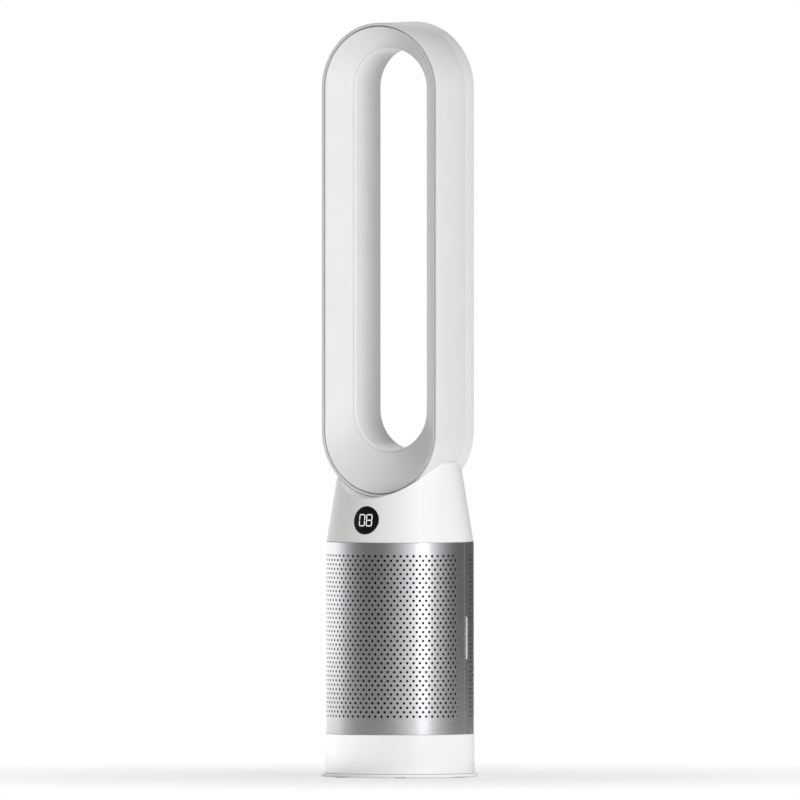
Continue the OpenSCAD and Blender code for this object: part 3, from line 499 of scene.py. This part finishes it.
fold_r0 = 72.6
fold_r1 = 97.6
fold_t = 0.8
fold_round = 0.6
fold_spread = 0.045
folds = 40
paper_z0 = 64.3
paper_z1 = 323.0
fold_edge_y = 17.1
screen_r0 = 97.8
screen_t = 0.8
screen_y = 16.7

# glass-fibre paper: soft white, faintly mottled, no gloss at all
paper_white = "#f2f2ee"
filter_paper = patterned("glass_fibre_paper_white", "TexNoise",
                         {"Scale": 1 / (1.2 * MM), "Detail": 6.0, "Roughness": 0.7},
                         [(0.35, shaded(paper_white, 0.9)), (0.65, linear(paper_white))],
                         (0.8, 0.06 * MM), {"Roughness": 0.85, "IOR": 1.45, "Sheen Weight": 0.15})
# black polyester net: it is what makes the holes of the shroud look black
black_net = woven_net("woven_net_black_painted_shade", "#0f1011", 1.2 * MM)
# frames: dark grey, matt, so that no pale edge shows through the holes
frame_abs = moulded("moulded_abs_frame_grey", "#6d6f71", 0.48, 1.2 * MM, 0.012 * MM)


def pleats(way):
    """The folded sheet: each crest and valley is a small round, and both faces are drawn."""
    start = degrees(asin(fold_edge_y / fold_r0))
    step = (180 - 2 * start) / folds
    lines = []
    for i in range(2 * folds + 1):
        angle = start + step * i / 2
        crest = i % 2 == 0
        for k in ((0,) if i in (0, 2 * folds) else (-1, 0, 1)):
            inset = fold_round * abs(k)
            r = fold_r1 - fold_t / 2 - inset if crest else fold_r0 + fold_t / 2 + inset
            lines.append((r, angle + k * step * fold_spread))
    centre = [Vector((r * cos(radians(a)), r * sin(radians(a))))
              for r, a in lines]
    sides = ([], [])
    for i, p in enumerate(centre):
        run = (centre[min(i + 1, len(centre) - 1)] - centre[max(i - 1, 0)]).normalized()
        across = Vector((-run.y, run.x)) * fold_t / 2
        sides[0].append(p + across)
        sides[1].append(p - across)
    outline = sides[0] + sides[1][::-1]
    size = len(outline)
    points = [(way * p.x, way * p.y, z) for z in (paper_z0, paper_z1) for p in outline]
    faces = [((i + 1) % size, i, i + size, (i + 1) % size + size) for i in range(size)]
    for i in range(len(centre) - 1):
        a, b, c, d = i, i + 1, size - 2 - i, size - 1 - i
        faces.append((a, b, c, d))
        faces.append((d + size, c + size, b + size, a + size))
    return points, faces


for half, way, turn in (("front", -1, 180), ("rear", 1, 0)):
    body = half + "_shroud"
    piece("pleated_paper_" + half, *pleats(way), filter_paper, body, ["fine_filter_pleats_" + half])
    net = half_ring(screen_r0, screen_r0 + screen_t, paper_z0, paper_z1, screen_t / 4, 2, screen_y,
                    120, turn)
    piece("dust_net_" + half, *net, black_net, body, ["dust_screen_" + half])
dress(frame_abs, "fine_filter_frame_front", "fine_filter_frame_rear")


# Carbon filter: a half ring of carbon granules held between two layers of black net, sealed
# along its edges. It leans on the cage and comes away once its shroud is off.
carbon_r0 = 62.3
carbon_r1 = 67.3
carbon_y = 12.7
carbon_z0 = 60.4
carbon_z1 = 326.9
carbon_round = 1.2
# carbon granules of 3 mm behind net: dark lumps, each drawn paler in its raised middle (a painted
# glint) and darker towards its edges and in the gaps between lumps (painted shade)
carbon_grey = "#2b2c2e"
carbon_painted_glint_and_shade = patterned("carbon_granules_in_net", "TexVoronoi", {"Scale": 1 / (3.0 * MM)},
                         [(0.1, shaded(carbon_grey, 1.5)), (0.7, shaded(carbon_grey, 0.35))],
                         (1.0, 0.6 * MM), {"IOR": 1.5}, {"To Min": 0.45, "To Max": 0.9},
                         invert=True, feature="F1")
for half, turn in (("front", 180), ("rear", 0)):
    pad = half_ring(carbon_r0, carbon_r1, carbon_z0, carbon_z1, carbon_round, 4, carbon_y, 90, turn,
                    ease=0.4)
    piece("carbon_pad_" + half, *pad, carbon_painted_glint_and_shade, half + "_carbon", ["carbon_filter_" + half])


# Release buttons: white ABS bars that show in a window of the rear shroud, just behind each seam.
# Each rests on a small coil spring in its pillar, and frees the shroud when it is pressed.
button_y0 = 4.5
button_y1 = 10.5
button_z0 = 164.0
button_z1 = 225.0
button_x0 = 98.3
button_r = 102.7
button_slant = 3.5
button_edge = 1.0
button_corner = 1.2


def bar(side):
    """A bar whose face follows the drum, with rounded edges and a slanting top."""
    outline = rounded([
        (button_y0, button_z0, button_corner), (button_y1, button_z0, button_corner),
        (button_y1, button_z1 - button_slant, 1.6), (button_y0, button_z1, button_corner),
    ], 4)
    middle = Vector(((button_y0 + button_y1) / 2, (button_z0 + button_z1) / 2))
    half = Vector(((button_y1 - button_y0) / 2, (button_z1 - button_z0) / 2))
    layers = [(0.0, None)]
    for k in range(6):
        a = radians(90 * k / 5)
        layers.append((button_edge * (1 - cos(a)), button_edge * (1 - sin(a))))
    points = []
    for inset, drop in layers:
        for p in outline:
            q = p - middle
            y = middle.x + q.x * (1 - inset / half.x)
            z = middle.y + q.y * (1 - inset / half.y)
            face_x = sqrt(button_r ** 2 - y ** 2)
            points.append((side * (button_x0 if drop is None else face_x - drop), y, z))
    size = len(outline)
    faces = skin(len(layers), size)
    faces += [tuple(range(size))[::-1], tuple((len(layers) - 1) * size + i for i in range(size))]
    return points, faces if side > 0 else [f[::-1] for f in faces]


def coil(node, side):
    """A coil of round wire that fills its CAD node's box, with its axis across the machine."""
    low, high = (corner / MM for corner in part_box(node))
    middle = (low + high) / 2
    coil_r = (high.z - low.z) / 2 - wire_r
    length = high.x - low.x - 2 * wire_r
    count = wire_turns * wire_steps
    points = []
    for i in range(count + 1):
        share = i / count
        # the turns lie closer together at both ends
        share = (1 - crowding) * share + crowding * share * share * (3 - 2 * share)
        a = 2 * pi * i / wire_steps
        for k in range(wire_sides):
            b = 2 * pi * k / wire_sides
            r = coil_r + wire_r * cos(b)
            x = middle.x + side * (length * (share - 0.5) + wire_r * sin(b))
            points.append((x, middle.y + r * cos(a), middle.z + r * sin(a)))
    faces = skin(count + 1, wire_sides)
    faces += [tuple(range(wire_sides))[::-1],
              tuple(count * wire_sides + k for k in range(wire_sides))]
    return points, faces if side < 0 else [f[::-1] for f in faces]


wire_r = 0.4
wire_turns = 6
wire_steps = 28
wire_sides = 8
crowding = 0.55

# the buttons are white ABS like the shell, drawn a shade greyer as painted shade so that they sit
# darker beside the seam; their gloss drifts a little at random
button_painted_shade = moulded("moulded_abs_button_white", "#d2d2d1", 0.3, 5 * MM, 0.01 * MM, spread=0.012)
# spring wire: bright drawn steel
spring_wire = plated("spring_steel_bright", "#a6a9ad", 0.28)
for side, name in ((1, "right"), (-1, "left")):
    piece("button_bar_" + name, *bar(side), button_painted_shade, name + "_button",
          ["release_button_" + name])
    node = "button_spring_" + name
    spring = piece("button_coil_" + name, *coil(node, side), spring_wire, "tower", [node])
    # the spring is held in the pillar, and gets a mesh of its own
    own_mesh(spring)


# Fan unit: the motor and impeller hang in a bucket on four rubber mounts above the intake,
# with foam round it against noise. Ducts are grey ABS, the impeller is dark nylon.
duct_abs = moulded("moulded_abs_duct_grey", "#cfd0d1", 0.46, 1.2 * MM, 0.012 * MM)
# dark glass-filled nylon: dull with faint streaks
impeller_nylon = fibre_filled("glass_filled_nylon_dark", "#3b3d40", 0.42)
# ground shaft and bearing rings: bright, with marks round them
shaft_steel = plated("ground_steel", "#c2c5c8", 0.2, streaks=(0.3, 0.3, 1.5))
bearing_steel = plated("bearing_steel", "#9a9ea2", 0.22)


# copper wire under clear enamel: warm ridges 0.8 mm apart, drawn at 1.6 mm; the crests are copper
# and the grooves between turns dark brown, which is painted shade
copper_wire = patterned("enamelled_copper_wire_painted_shade", "TexWave",
                        {"Scale": 1 / (10 * MM), "Distortion": 0.4, "Detail": 1.0},
                        [(0.15, linear("#5a2f1a")), (0.8, linear("#b8703c"))], (0.8, 0.3 * MM),
                        {"Metallic": 1.0, "Roughness": 0.3}, bands_direction="Z")
# acoustic foam: charcoal, no gloss, cells of 2 mm; the cell walls are drawn paler and the pits
# between them darker, which is painted shade
foam_grey = "#4a4a4c"
acoustic_foam = patterned("open_cell_foam_charcoal_painted_shade", "TexVoronoi", {"Scale": 1 / (2.0 * MM)},
                          [(0.02, shaded(foam_grey, 1.35)), (0.25, shaded(foam_grey, 0.45))],
                          (1.0, 0.8 * MM), {"Roughness": 0.9, "IOR": 1.4, "Sheen Weight": 0.2},
                          invert=True, feature="DISTANCE_TO_EDGE")

dress(inner_abs, "upper_deck")
dress(duct_abs, "intake_bellmouth", "motor_bucket", "diffuser", "motor_cover", "neck_duct")
# nitrile rubber: dark, with a dull bloom and hardly a highlight
mount_rubber = moulded("moulded_rubber_black", "#2b2b2c", 0.72, 0.9 * MM, 0.03 * MM, spread=0.12)
dress(mount_rubber, "rubber_mounts", "neck_seal")
dress(impeller_nylon, "impeller")
dress(shaft_steel, "motor_shaft")
dress(bearing_steel, "motor_bearings")
dress(copper_wire, "motor_stator")

foam_low, foam_high = (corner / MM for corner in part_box("acoustic_foam"))
foam_r0 = 69.9
foam_half_y = 22.0
foam_edge = 1.0
foam_r1 = max(foam_high.x, foam_high.y)
for half, turn in (("front", 180), ("rear", 0)):
    shape = half_ring(foam_r0, foam_r1, foam_low.z, foam_high.z, foam_edge, 3, foam_half_y, 72,
                      turn, ease=0.5)
    pad = piece("foam_pad_" + half, *shape, acoustic_foam, "tower", ["acoustic_foam"])


# Upper body: a tapering shell moulded in glossy white ABS. Its top is scooped out where the
# loop sits in it, its edge there is rounded, and it has a round hole with a collar in front.
cone_r0 = 102.2
cone_r1 = 83.5
cone_h = 115.0
cone_z = 327.3
cone_trim_share = 0.965
cone_trim_z = cone_z + cone_trim_share * cone_h
cone_wall = 3.0
cone_slope = (cone_r0 - cone_r1) / cone_h
cone_tilt = atan(cone_slope)
display_axis = Vector((0, -cos(cone_tilt), sin(cone_tilt)))
saddle_r = 93.0
saddle_z = 482.3
rim_round = 1.5
trough_r = 45.9
trough_steps = 14
trough_wall = 2.0
display_z = 358.6
display_hole_r = 19.9
hole_round = 0.5
collar_depth = 8.0
collar_r = display_hole_r + 2.5
foot_step = 0.5
patch_half = 24
patch_steps = 24


def cone_at(z):
    return cone_r0 - cone_slope * (z - cone_z)


def trough_at(r, angle):
    """Height of the hollow that the loop sits in, at a radius and an angle from the front."""
    x = r * sin(angle)
    return min(cone_trim_z, saddle_z - sqrt(max(0.0, saddle_r ** 2 - x ** 2)))


def rim_z(angle):
    """Height of the shell's upper edge at an angle from the front."""
    z = cone_trim_z
    for _ in range(12):
        z = trough_at(cone_at(z), angle)
    return z


def on_cone(across, up, inset=0.0):
    """The point of the cone that lies across and up from the display's middle, along its axis."""
    out = 0.0
    for _ in range(20):
        z = display_z + up * cos(cone_tilt) + out * sin(cone_tilt)
        r = cone_at(z) - inset
        y = sqrt(r * r - across * across)
        out = (y - cone_at(display_z) + up * sin(cone_tilt)) / cos(cone_tilt)
    return Vector((across, -y, z))


def upper_shell():
    """Grid round the cone, its edge and the hollow for the loop, with a square patch left out in
    front of both walls, which rings of quads fill round the display's collar."""
    columns = 288
    above = 10
    low_z = display_z - patch_half
    high_z = display_z + patch_half
    levels = [low_z + (high_z - low_z) * i / patch_steps for i in range(patch_steps + 1)]

    def column(j):
        a = radians(j * 360 / columns)
        top = rim_z(a)
        body_top = top - rim_round
        if body_top < high_z:
            raise ValueError("the display's patch reaches the rim")
        line = [(cone_at(cone_z) - foot_step, cone_z)]
        line += [(cone_at(z), z) for z in (cone_z + foot_step, *levels)]
        line += [(cone_at(z), z) for z in (high_z + (body_top - high_z) * i / above
                                           for i in range(1, above + 1))]
        for k in range(1, 5):
            b = radians(90 * k / 4)
            line.append((cone_at(body_top) - rim_round * (1 - cos(b)),
                         body_top + rim_round * sin(b)))
        first_r = cone_at(top) - cone_wall
        inward = [first_r + (trough_r - first_r) * i / trough_steps
                  for i in range(trough_steps + 1)]
        line += [(r, trough_at(r, a)) for r in inward]
        line += [(r, trough_at(r, a) - trough_wall) for r in reversed(inward)]
        line += [(cone_at(z) - cone_wall, z) for z in (*reversed(levels), cone_z)]
        return [(r * sin(a), -r * cos(a), z) for r, z in line]

    lines = [column(j) for j in range(columns)]
    size = len(lines[0])
    points = sum(lines, [])
    patch = patch_steps // 2
    faces = []
    for j in range(columns):
        k = (j + 1) % columns
        for i in range(size):
            n = (i + 1) % size
            beside = patch <= j < columns - patch
            if beside or not (2 <= i < 2 + patch_steps or size - 2 - patch_steps <= i < size - 2):
                faces.append((j * size + i, k * size + i, k * size + n, j * size + n))

    def border_of(first, way):
        """Point numbers round the patch; its lowest point in each column is first."""
        around = [(j % columns) * size + first for j in range(-patch, patch)]
        around += [patch * size + first + way * i for i in range(patch_steps)]
        around += [(j % columns) * size + first + way * patch_steps
                   for j in range(patch, -patch, -1)]
        around += [((-patch) % columns) * size + first + way * i
                   for i in range(patch_steps, 0, -1)]
        return around

    loops = [border_of(2, 1)]
    count = len(loops[0])
    flat = [(points[i][0], (points[i][2] - display_z) / cos(cone_tilt)) for i in loops[0]]
    angles = [atan2(v, u) for u, v in flat]

    def ring(new_points):
        loops.append(list(range(len(points), len(points) + count)))
        points.extend(tuple(p) for p in new_points)

    def between(r, t, inset):
        """Points on a wall of the cone, a share t of the way from a circle to the border."""
        return [on_cone(r * cos(a) + (u - r * cos(a)) * t,
                        r * sin(a) + (v - r * sin(a)) * t, inset)
                for (u, v), a in zip(flat, angles)]

    rings = 6
    for k in range(1, rings + 1):
        ring(between(display_hole_r + hole_round, 1 - k / rings, 0.0))
    for k in range(1, 5):
        b = radians(90 * k / 4)
        r = display_hole_r + hole_round * (1 - sin(b))
        ring(on_cone(r * cos(a), r * sin(a))
             - display_axis * hole_round * (1 - cos(b)) for a in angles)
    base = Vector((0, -cone_at(display_z), display_z)) - display_axis * collar_depth
    right, up = Vector((1, 0, 0)), Vector((0, sin(cone_tilt), cos(cone_tilt)))
    for r in (display_hole_r, collar_r):
        ring(base + right * r * cos(a) + up * r * sin(a) for a in angles)
    for k in range(rings):
        ring(between(collar_r, k / rings, cone_wall))
    loops.append(border_of(size - 2, -1))
    for outer, inner in zip(loops, loops[1:]):
        faces += [(outer[i], outer[(i + 1) % count], inner[(i + 1) % count], inner[i])
                  for i in range(count)]
    return points, faces


piece("upper_shell", *upper_shell(), gloss_abs, "tower", ["upper_body"])


# Display: a round window of black acrylic, flush with the cone, which is also the button. The
# module behind it shows the set speed in two figures of seven segments each.
window_r = 19.5
window_t = 1.5


def lit(name, colour, strength):
    """Light spread through a segment's diffuser: a touch dimmer or brighter at random across it."""
    material = new_material(name)
    place = add(material, "TexCoord").outputs["Object"]
    cloud = add(material, "TexNoise", {"Scale": 1 / (2 * MM), "Detail": 1.0}, {"Vector": place})
    tone = add(material, "ValToRGB", links={"Fac": cloud.outputs["Fac"]},
               stops=[(0.3, shaded(colour, 0.9)), (0.7, linear(colour))])
    add(material, "Principled BSDF", {"Roughness": 0.4, "Emission Strength": strength},
        {"Base Color": tone.outputs["Color"], "Emission Color": tone.outputs["Color"]})
    return material


# black acrylic with polished face: deep, wet-looking gloss, the faintest ripple in reflections
window_black = "#0b0c0d"
window_acrylic = patterned("black_acrylic_polished", "TexNoise",
                           {"Scale": 1 / (9 * MM), "Detail": 1.0},
                           [(0.3, shaded(window_black, 0.8)), (0.7, shaded(window_black, 1.2))],
                           (0.3, 0.01 * MM), {"Roughness": 0.06, "IOR": 1.49})
# cool white light-emitting diodes behind a diffuser
segment_light = lit("lit_segments_cool_white", "#dfe3e6", 0.55)


def lens():
    """A disc that follows the cone, with a rounded edge and a flat back."""
    count = 96
    edge = 0.4
    rings = [((window_r - edge) * k / 6, 0.0) for k in range(1, 7)]
    for k in range(1, 5):
        b = radians(90 * k / 4)
        rings.append((window_r - edge * (1 - sin(b)), edge * (1 - cos(b))))
    rings.append((window_r, window_t))
    points = [tuple(on_cone(0, 0))]
    for r, drop in rings:
        for i in range(count):
            a = 2 * pi * i / count
            p = on_cone(r * cos(a), r * sin(a)) - display_axis * drop
            points.append(tuple(p))
    points.append(tuple(on_cone(0, 0) - display_axis * window_t))
    faces = [(0, 1 + i, 1 + (i + 1) % count) for i in range(count)]
    faces += [tuple(1 + i for i in f[::-1]) for f in skin(len(rings), count)]
    last = 1 + (len(rings) - 1) * count
    faces += [(last + (i + 1) % count, last + i, len(points) - 1) for i in range(count)]
    return points, faces


def figure_bars():
    """Middle lines of the strokes of the figures 0 and 8, as (x, y) ends in millimetres."""
    high, wide, pitch = 15.7, 8.2, 11.2
    strokes = []
    for middle, shown in ((-pitch / 2, "abcdef"), (pitch / 2, "abcdefg")):
        x0, x1 = middle - wide / 2, middle + wide / 2
        y0, y1, y2 = -high / 2, 0.0, high / 2
        ends = {
            "a": ((x0, y2), (x1, y2)), "b": ((x1, y2), (x1, y1)), "c": ((x1, y1), (x1, y0)),
            "d": ((x0, y0), (x1, y0)), "e": ((x0, y1), (x0, y0)), "f": ((x0, y2), (x0, y1)),
            "g": ((x0, y1), (x1, y1)),
        }
        strokes += [(Vector(ends[name][0]), Vector(ends[name][1])) for name in shown]
    return strokes


def figures():
    """Pointed strokes that follow the lens, in short lengths so that they bend with it."""
    half = 0.75
    tip = 0.3
    lengths = 8
    proud = 0.05
    sunk = 0.4
    points, faces = [], []
    for a, b in figure_bars():
        run = (b - a).normalized()
        side = Vector((-run.y, run.x))
        long = (b - a).length
        first_cut, last_cut = tip + half, long - tip - half
        stops = [tip, *(first_cut + (last_cut - first_cut) * i / lengths
                        for i in range(lengths + 1)), long - tip]
        first = len(points)
        for i, s in enumerate(stops):
            w = half * 0.25 if i in (0, len(stops) - 1) else half
            for across, lift in ((-w, proud), (w, proud), (w, -sunk), (-w, -sunk)):
                p = a + run * s + side * across
                points.append(tuple(on_cone(p.x, p.y) + display_axis * lift))
        faces += [tuple(first + i for i in f[::-1]) for f in skin(len(stops), 4)]
        last = first + 4 * (len(stops) - 1)
        faces += [(first, first + 1, first + 2, first + 3), (last + 3, last + 2, last + 1, last)]
    return points, faces


piece("display_lens", *lens(), window_acrylic, "display_button", ["display_window"])
piece("display_figures", *figures(), segment_light, "display_button", [], slot="display_module")
# the module's case is matt black, and its board is green like the power board
module_black = moulded("moulded_abs_module_black", "#202326", 0.5, 1.0 * MM, 0.01 * MM, spread=0.1)
display_green = circuit_board("solder_resist_green_display", "#2f7a45", "#4f9a5c", 3 * MM, 10.0)
dress(module_black, "display_module")
dress(display_green, "display_board")


# Loop: four long rings moulded in satin white ABS. The outer shell and the rear shell meet in
# seams, the front nozzle leaves a fine gap inside the rim, and the air slot at its root is drawn
# finer than the real one, because the photograph shows no line there.
loop_r = 92.5
opening_r = 56.0
loop_front = -58.3
rear_y = 49.5
outer_seam_y = 22.0
inner_seam_y = 35.0
cz_bottom = 482.3
cz_top = 957.5
cz_sill = 510.5
funnel_r0 = 86.0
funnel_r1 = 59.5
loop_wall = 3.0
rim_w = 3.7
nozzle_r = 87.5
nozzle_back = 13.5
funnel_back_r = 84.95
throat_r = 61.6


def loop_ring(outline, steps=72, straight=6):
    """A closed outline of (distance from the centre line, depth) swept round the loop."""
    stations = [(pi * i / steps, 0.0) for i in range(steps + 1)]
    stations += [(pi, i / straight) for i in range(1, straight)]
    stations += [(pi + pi * i / steps, 1.0) for i in range(steps + 1)]
    stations += [(2 * pi, 1 - i / straight) for i in range(1, straight)]
    points = []
    for a, share in stations:
        for r, y in outline:
            sill = max(0.0, min(1.0, (funnel_r0 - r) / (funnel_r0 - funnel_r1)))
            low = cz_bottom + (cz_sill - cz_bottom) * sill
            z = cz_top + (low - cz_top) * share
            points.append((r * cos(a), y, z + r * sin(a)))
    return points, skin(len(stations), len(outline), round_again=True)


# satin white ABS: the finely etched tool gives a broad, soft sheen
satin_abs = moulded("moulded_abs_satin_white", "#e8e8e7", 0.36, 1.2 * MM, 0.006 * MM,
                    spread=0.008)

inner_r = loop_r - loop_wall
outer_outline = rounded([
    (loop_r, loop_front, 1.3), (loop_r, outer_seam_y, 0.35), (inner_r, outer_seam_y, 0),
    (inner_r, loop_front + 9, 0), (loop_r - rim_w, loop_front + 7.5, 0),
    (loop_r - rim_w, loop_front, 0.4),
])
# the rear shell's tongue reaches into the outer shell, with a seam of 0.3 mm between them
seam = 0.3
tongue_r = inner_r - seam
tongue_in = tongue_r - 1.6
tongue_y = outer_seam_y - 6
rear_outline = rounded([
    (loop_r, outer_seam_y + seam, 0.35), (loop_r, rear_y, 6.0), (opening_r, rear_y, 8.0),
    (opening_r, inner_seam_y, 0.35), (opening_r + loop_wall, inner_seam_y, 0),
    (opening_r + loop_wall, rear_y - loop_wall, 5.0), (inner_r, rear_y - loop_wall, 3.0),
    (inner_r, outer_seam_y + seam + loop_wall, 0), (tongue_in, outer_seam_y + seam + loop_wall, 0),
    (tongue_in, tongue_y, 0), (tongue_r, tongue_y, 0), (tongue_r, outer_seam_y + seam, 0),
], 8)
root_y = -27.2
throat_y = -26
nozzle_end = -14
funnel_back_y = -53.6
nozzle_outline = rounded([
    (nozzle_r, loop_front, 0.4), (nozzle_r, loop_front + nozzle_back, 0),
    (funnel_back_r, loop_front + nozzle_back, 0), (funnel_back_r, funnel_back_y, 0),
    (throat_r, throat_y, 0), (throat_r, nozzle_end, 0), (funnel_r1, nozzle_end, 0),
    (funnel_r1, root_y, 0.3), (funnel_r0, loop_front + 0.4, 1.0),
])
# the inner wall's lip stands in the nozzle's end, with the air slot between them
lip_r = funnel_r1 - 0.2
lip_t = 2
lip_y = -23.2
lip_end = -9
inner_outline = rounded([
    (opening_r, lip_y, 1.6), (lip_r, root_y + seam, 0.2), (lip_r, nozzle_end + 1, 0),
    (opening_r + lip_t, lip_end, 0), (opening_r + lip_t, inner_seam_y - seam, 0),
    (opening_r, inner_seam_y - seam, 0.35),
], 6)
for name, outline, node in (("loop_rim_shell", outer_outline, "loop_outer_shell"),
                            ("loop_back_shell", rear_outline, "loop_rear_shell"),
                            ("loop_nozzle", nozzle_outline, "loop_front_nozzle"),
                            ("loop_throat", inner_outline, "loop_inner_wall")):
    piece(name, *loop_ring(outline), satin_abs, "tower", [node])
# plain extruded aluminium: pale grey, drawn marks along its length
bracket_metal = plated("extruded_aluminium", "#c6c8ca", 0.35, streaks=(1.5, 1.5, 0.1))
dress(bracket_metal, "loop_brackets")
dress(inner_abs, "loop_ribs")


# Studio: a pale floor under a soft white sky, with one large lamp to the right of the camera, one
# of half its power behind and two weak ones low beside the base, for the light that a white table
# throws back. Shiny surfaces see a ring of cards: white behind, dark at the sides, a bright strip.
scene = bpy.context.scene
scene.view_settings.view_transform = "Standard"
world = bpy.data.worlds.new("white_sky")
scene.world = world
world.use_nodes = True
rays = add(world, "LightPath").outputs
seen = add(world, "Math", links={0: rays["Is Camera Ray"], 1: rays["Is Glossy Ray"]},
           operation="MAXIMUM")
seen_through = add(world, "Math", links={0: seen.outputs["Value"], 1: rays["Is Transmission Ray"]},
                   operation="MAXIMUM")
sky_level = add(world, "MapRange", {"To Min": 0.38, "To Max": 1.0},
                {"Value": seen_through.outputs["Value"]})
add(world, "Background", {"Color": (1, 1, 1, 1)}, {"Strength": sky_level.outputs["Result"]})


def stage_mesh(name, points, faces, material):
    mesh = bpy.data.meshes.new(name)
    mesh.from_pydata([Vector(p) for p in points], [], faces)
    mesh.materials.append(material)
    thing = bpy.data.objects.new(name, mesh)
    scene.collection.objects.link(thing)
    return thing


# pale floor: the camera sees it lifted towards white, more so further out, with the shadow kept
floor_material = new_material("pale_floor")
floor_place = add(floor_material, "TexCoord").outputs["Object"]
floor_far = add(floor_material, "VectorMath", links={0: floor_place}, operation="LENGTH")
floor_rays = add(floor_material, "LightPath")
floor_lift = add(floor_material, "MapRange",
                 {"From Min": 0.15, "From Max": 0.9, "To Min": 0.55, "To Max": 1.0},
                 {"Value": floor_far.outputs["Value"]})
floor_share = add(floor_material, "Math", links={0: floor_rays.outputs["Is Camera Ray"],
                                                 1: floor_lift.outputs["Result"]},
                  operation="MULTIPLY")
floor_glow = add(floor_material, "Emission", {"Color": (1, 1, 1, 1), "Strength": 1.0})
floor_matt = add(floor_material, "Principled BSDF",
                 {"Base Color": linear("#f0f0ef"), "Roughness": 0.8})
floor_mix = add(floor_material, "MixShader",
                links={0: floor_share.outputs["Value"], 1: floor_matt.outputs["BSDF"],
                       2: floor_glow.outputs["Emission"]})
add(floor_material, "Material Output", links={"Surface": floor_mix.outputs["Shader"]})
floor_r = 8.0
floor_steps = 96
floor_turns = [2 * pi * i / floor_steps for i in range(floor_steps)]
stage_mesh("floor", [(floor_r * cos(a), floor_r * sin(a), 0) for a in floor_turns],
           [tuple(range(floor_steps))], floor_material)


def card(name, distance, low, high, tones):
    """An upright curved card round the object, graded between tones at angles from the camera."""
    material = new_material(name + "_cloth")
    tone = add(material, "Attribute", attribute_name="tone")
    glow = add(material, "Emission", {"Strength": 1.0}, {"Color": tone.outputs["Color"]})
    add(material, "Material Output", links={"Surface": glow.outputs["Emission"]})
    points, levels = [], []
    start, end = tones[0][0], tones[-1][0]
    count = int(end - start)
    for i in range(count + 1):
        angle = start + (end - start) * i / count
        for (a0, t0), (a1, t1) in zip(tones, tones[1:]):
            if a0 <= angle <= a1:
                level = t0 + (t1 - t0) * (angle - a0) / (a1 - a0)
        a = view_azimuth + radians(angle)
        for z in (low, high):
            points.append((distance * sin(a), -distance * cos(a), z))
            levels.append(level)
    faces = [(2 * i, 2 * i + 2, 2 * i + 3, 2 * i + 1) for i in range(count)]
    thing = stage_mesh(name, points, faces, material)
    layer = thing.data.color_attributes.new("tone", "FLOAT_COLOR", "POINT")
    for value, level in zip(layer.data, levels):
        value.color = (level, level, level, 1)
    thing.visible_camera = False
    thing.visible_diffuse = False
    thing.visible_shadow = False
    thing.visible_transmission = False


card("ring_of_cards", 2.2, -0.6, 2.4, [
    (-180, 1.3), (-112, 1.3), (-92, 0.6), (-74, 0.26), (-56, 0.14), (-36, 0.13), (-20, 0.2),
    (-4, 0.42), (12, 0.85), (26, 1.1), (29, 2.2), (42, 2.2), (46, 1.0), (66, 0.45), (84, 0.15),
    (110, 0.11), (160, 0.11), (172, 1.3), (180, 1.3),
])


def lamp(name, angle, height, distance, size, power, target):
    data = bpy.data.lights.new(name, "AREA")
    data.shape = "RECTANGLE"
    data.size, data.size_y = size
    data.energy = power
    thing = bpy.data.objects.new(name, data)
    a = view_azimuth + radians(angle)
    thing.location = (distance * sin(a), -distance * cos(a), height)
    thing.rotation_euler = (Vector(target) - thing.location).to_track_quat("-Z", "Y").to_euler()
    thing.visible_glossy = False
    thing.visible_camera = False
    scene.collection.objects.link(thing)


lamp("key_lamp", 33, 0.75, 3.0, (1.0, 1.4), 51, (0, 0, 0.6))
lamp("rear_lamp", 176, 0.5, 3.0, (1.4, 1.4), 26, (0, 0, 0.6))
lamp("table_lamp_left", -70, 0.001, 0.3, (0.34, 0.34), 0.75, (0, 0, 99))
lamp("table_lamp_right", 100, 0.001, 0.3, (0.34, 0.34), 0.32, (0, 0, 99))
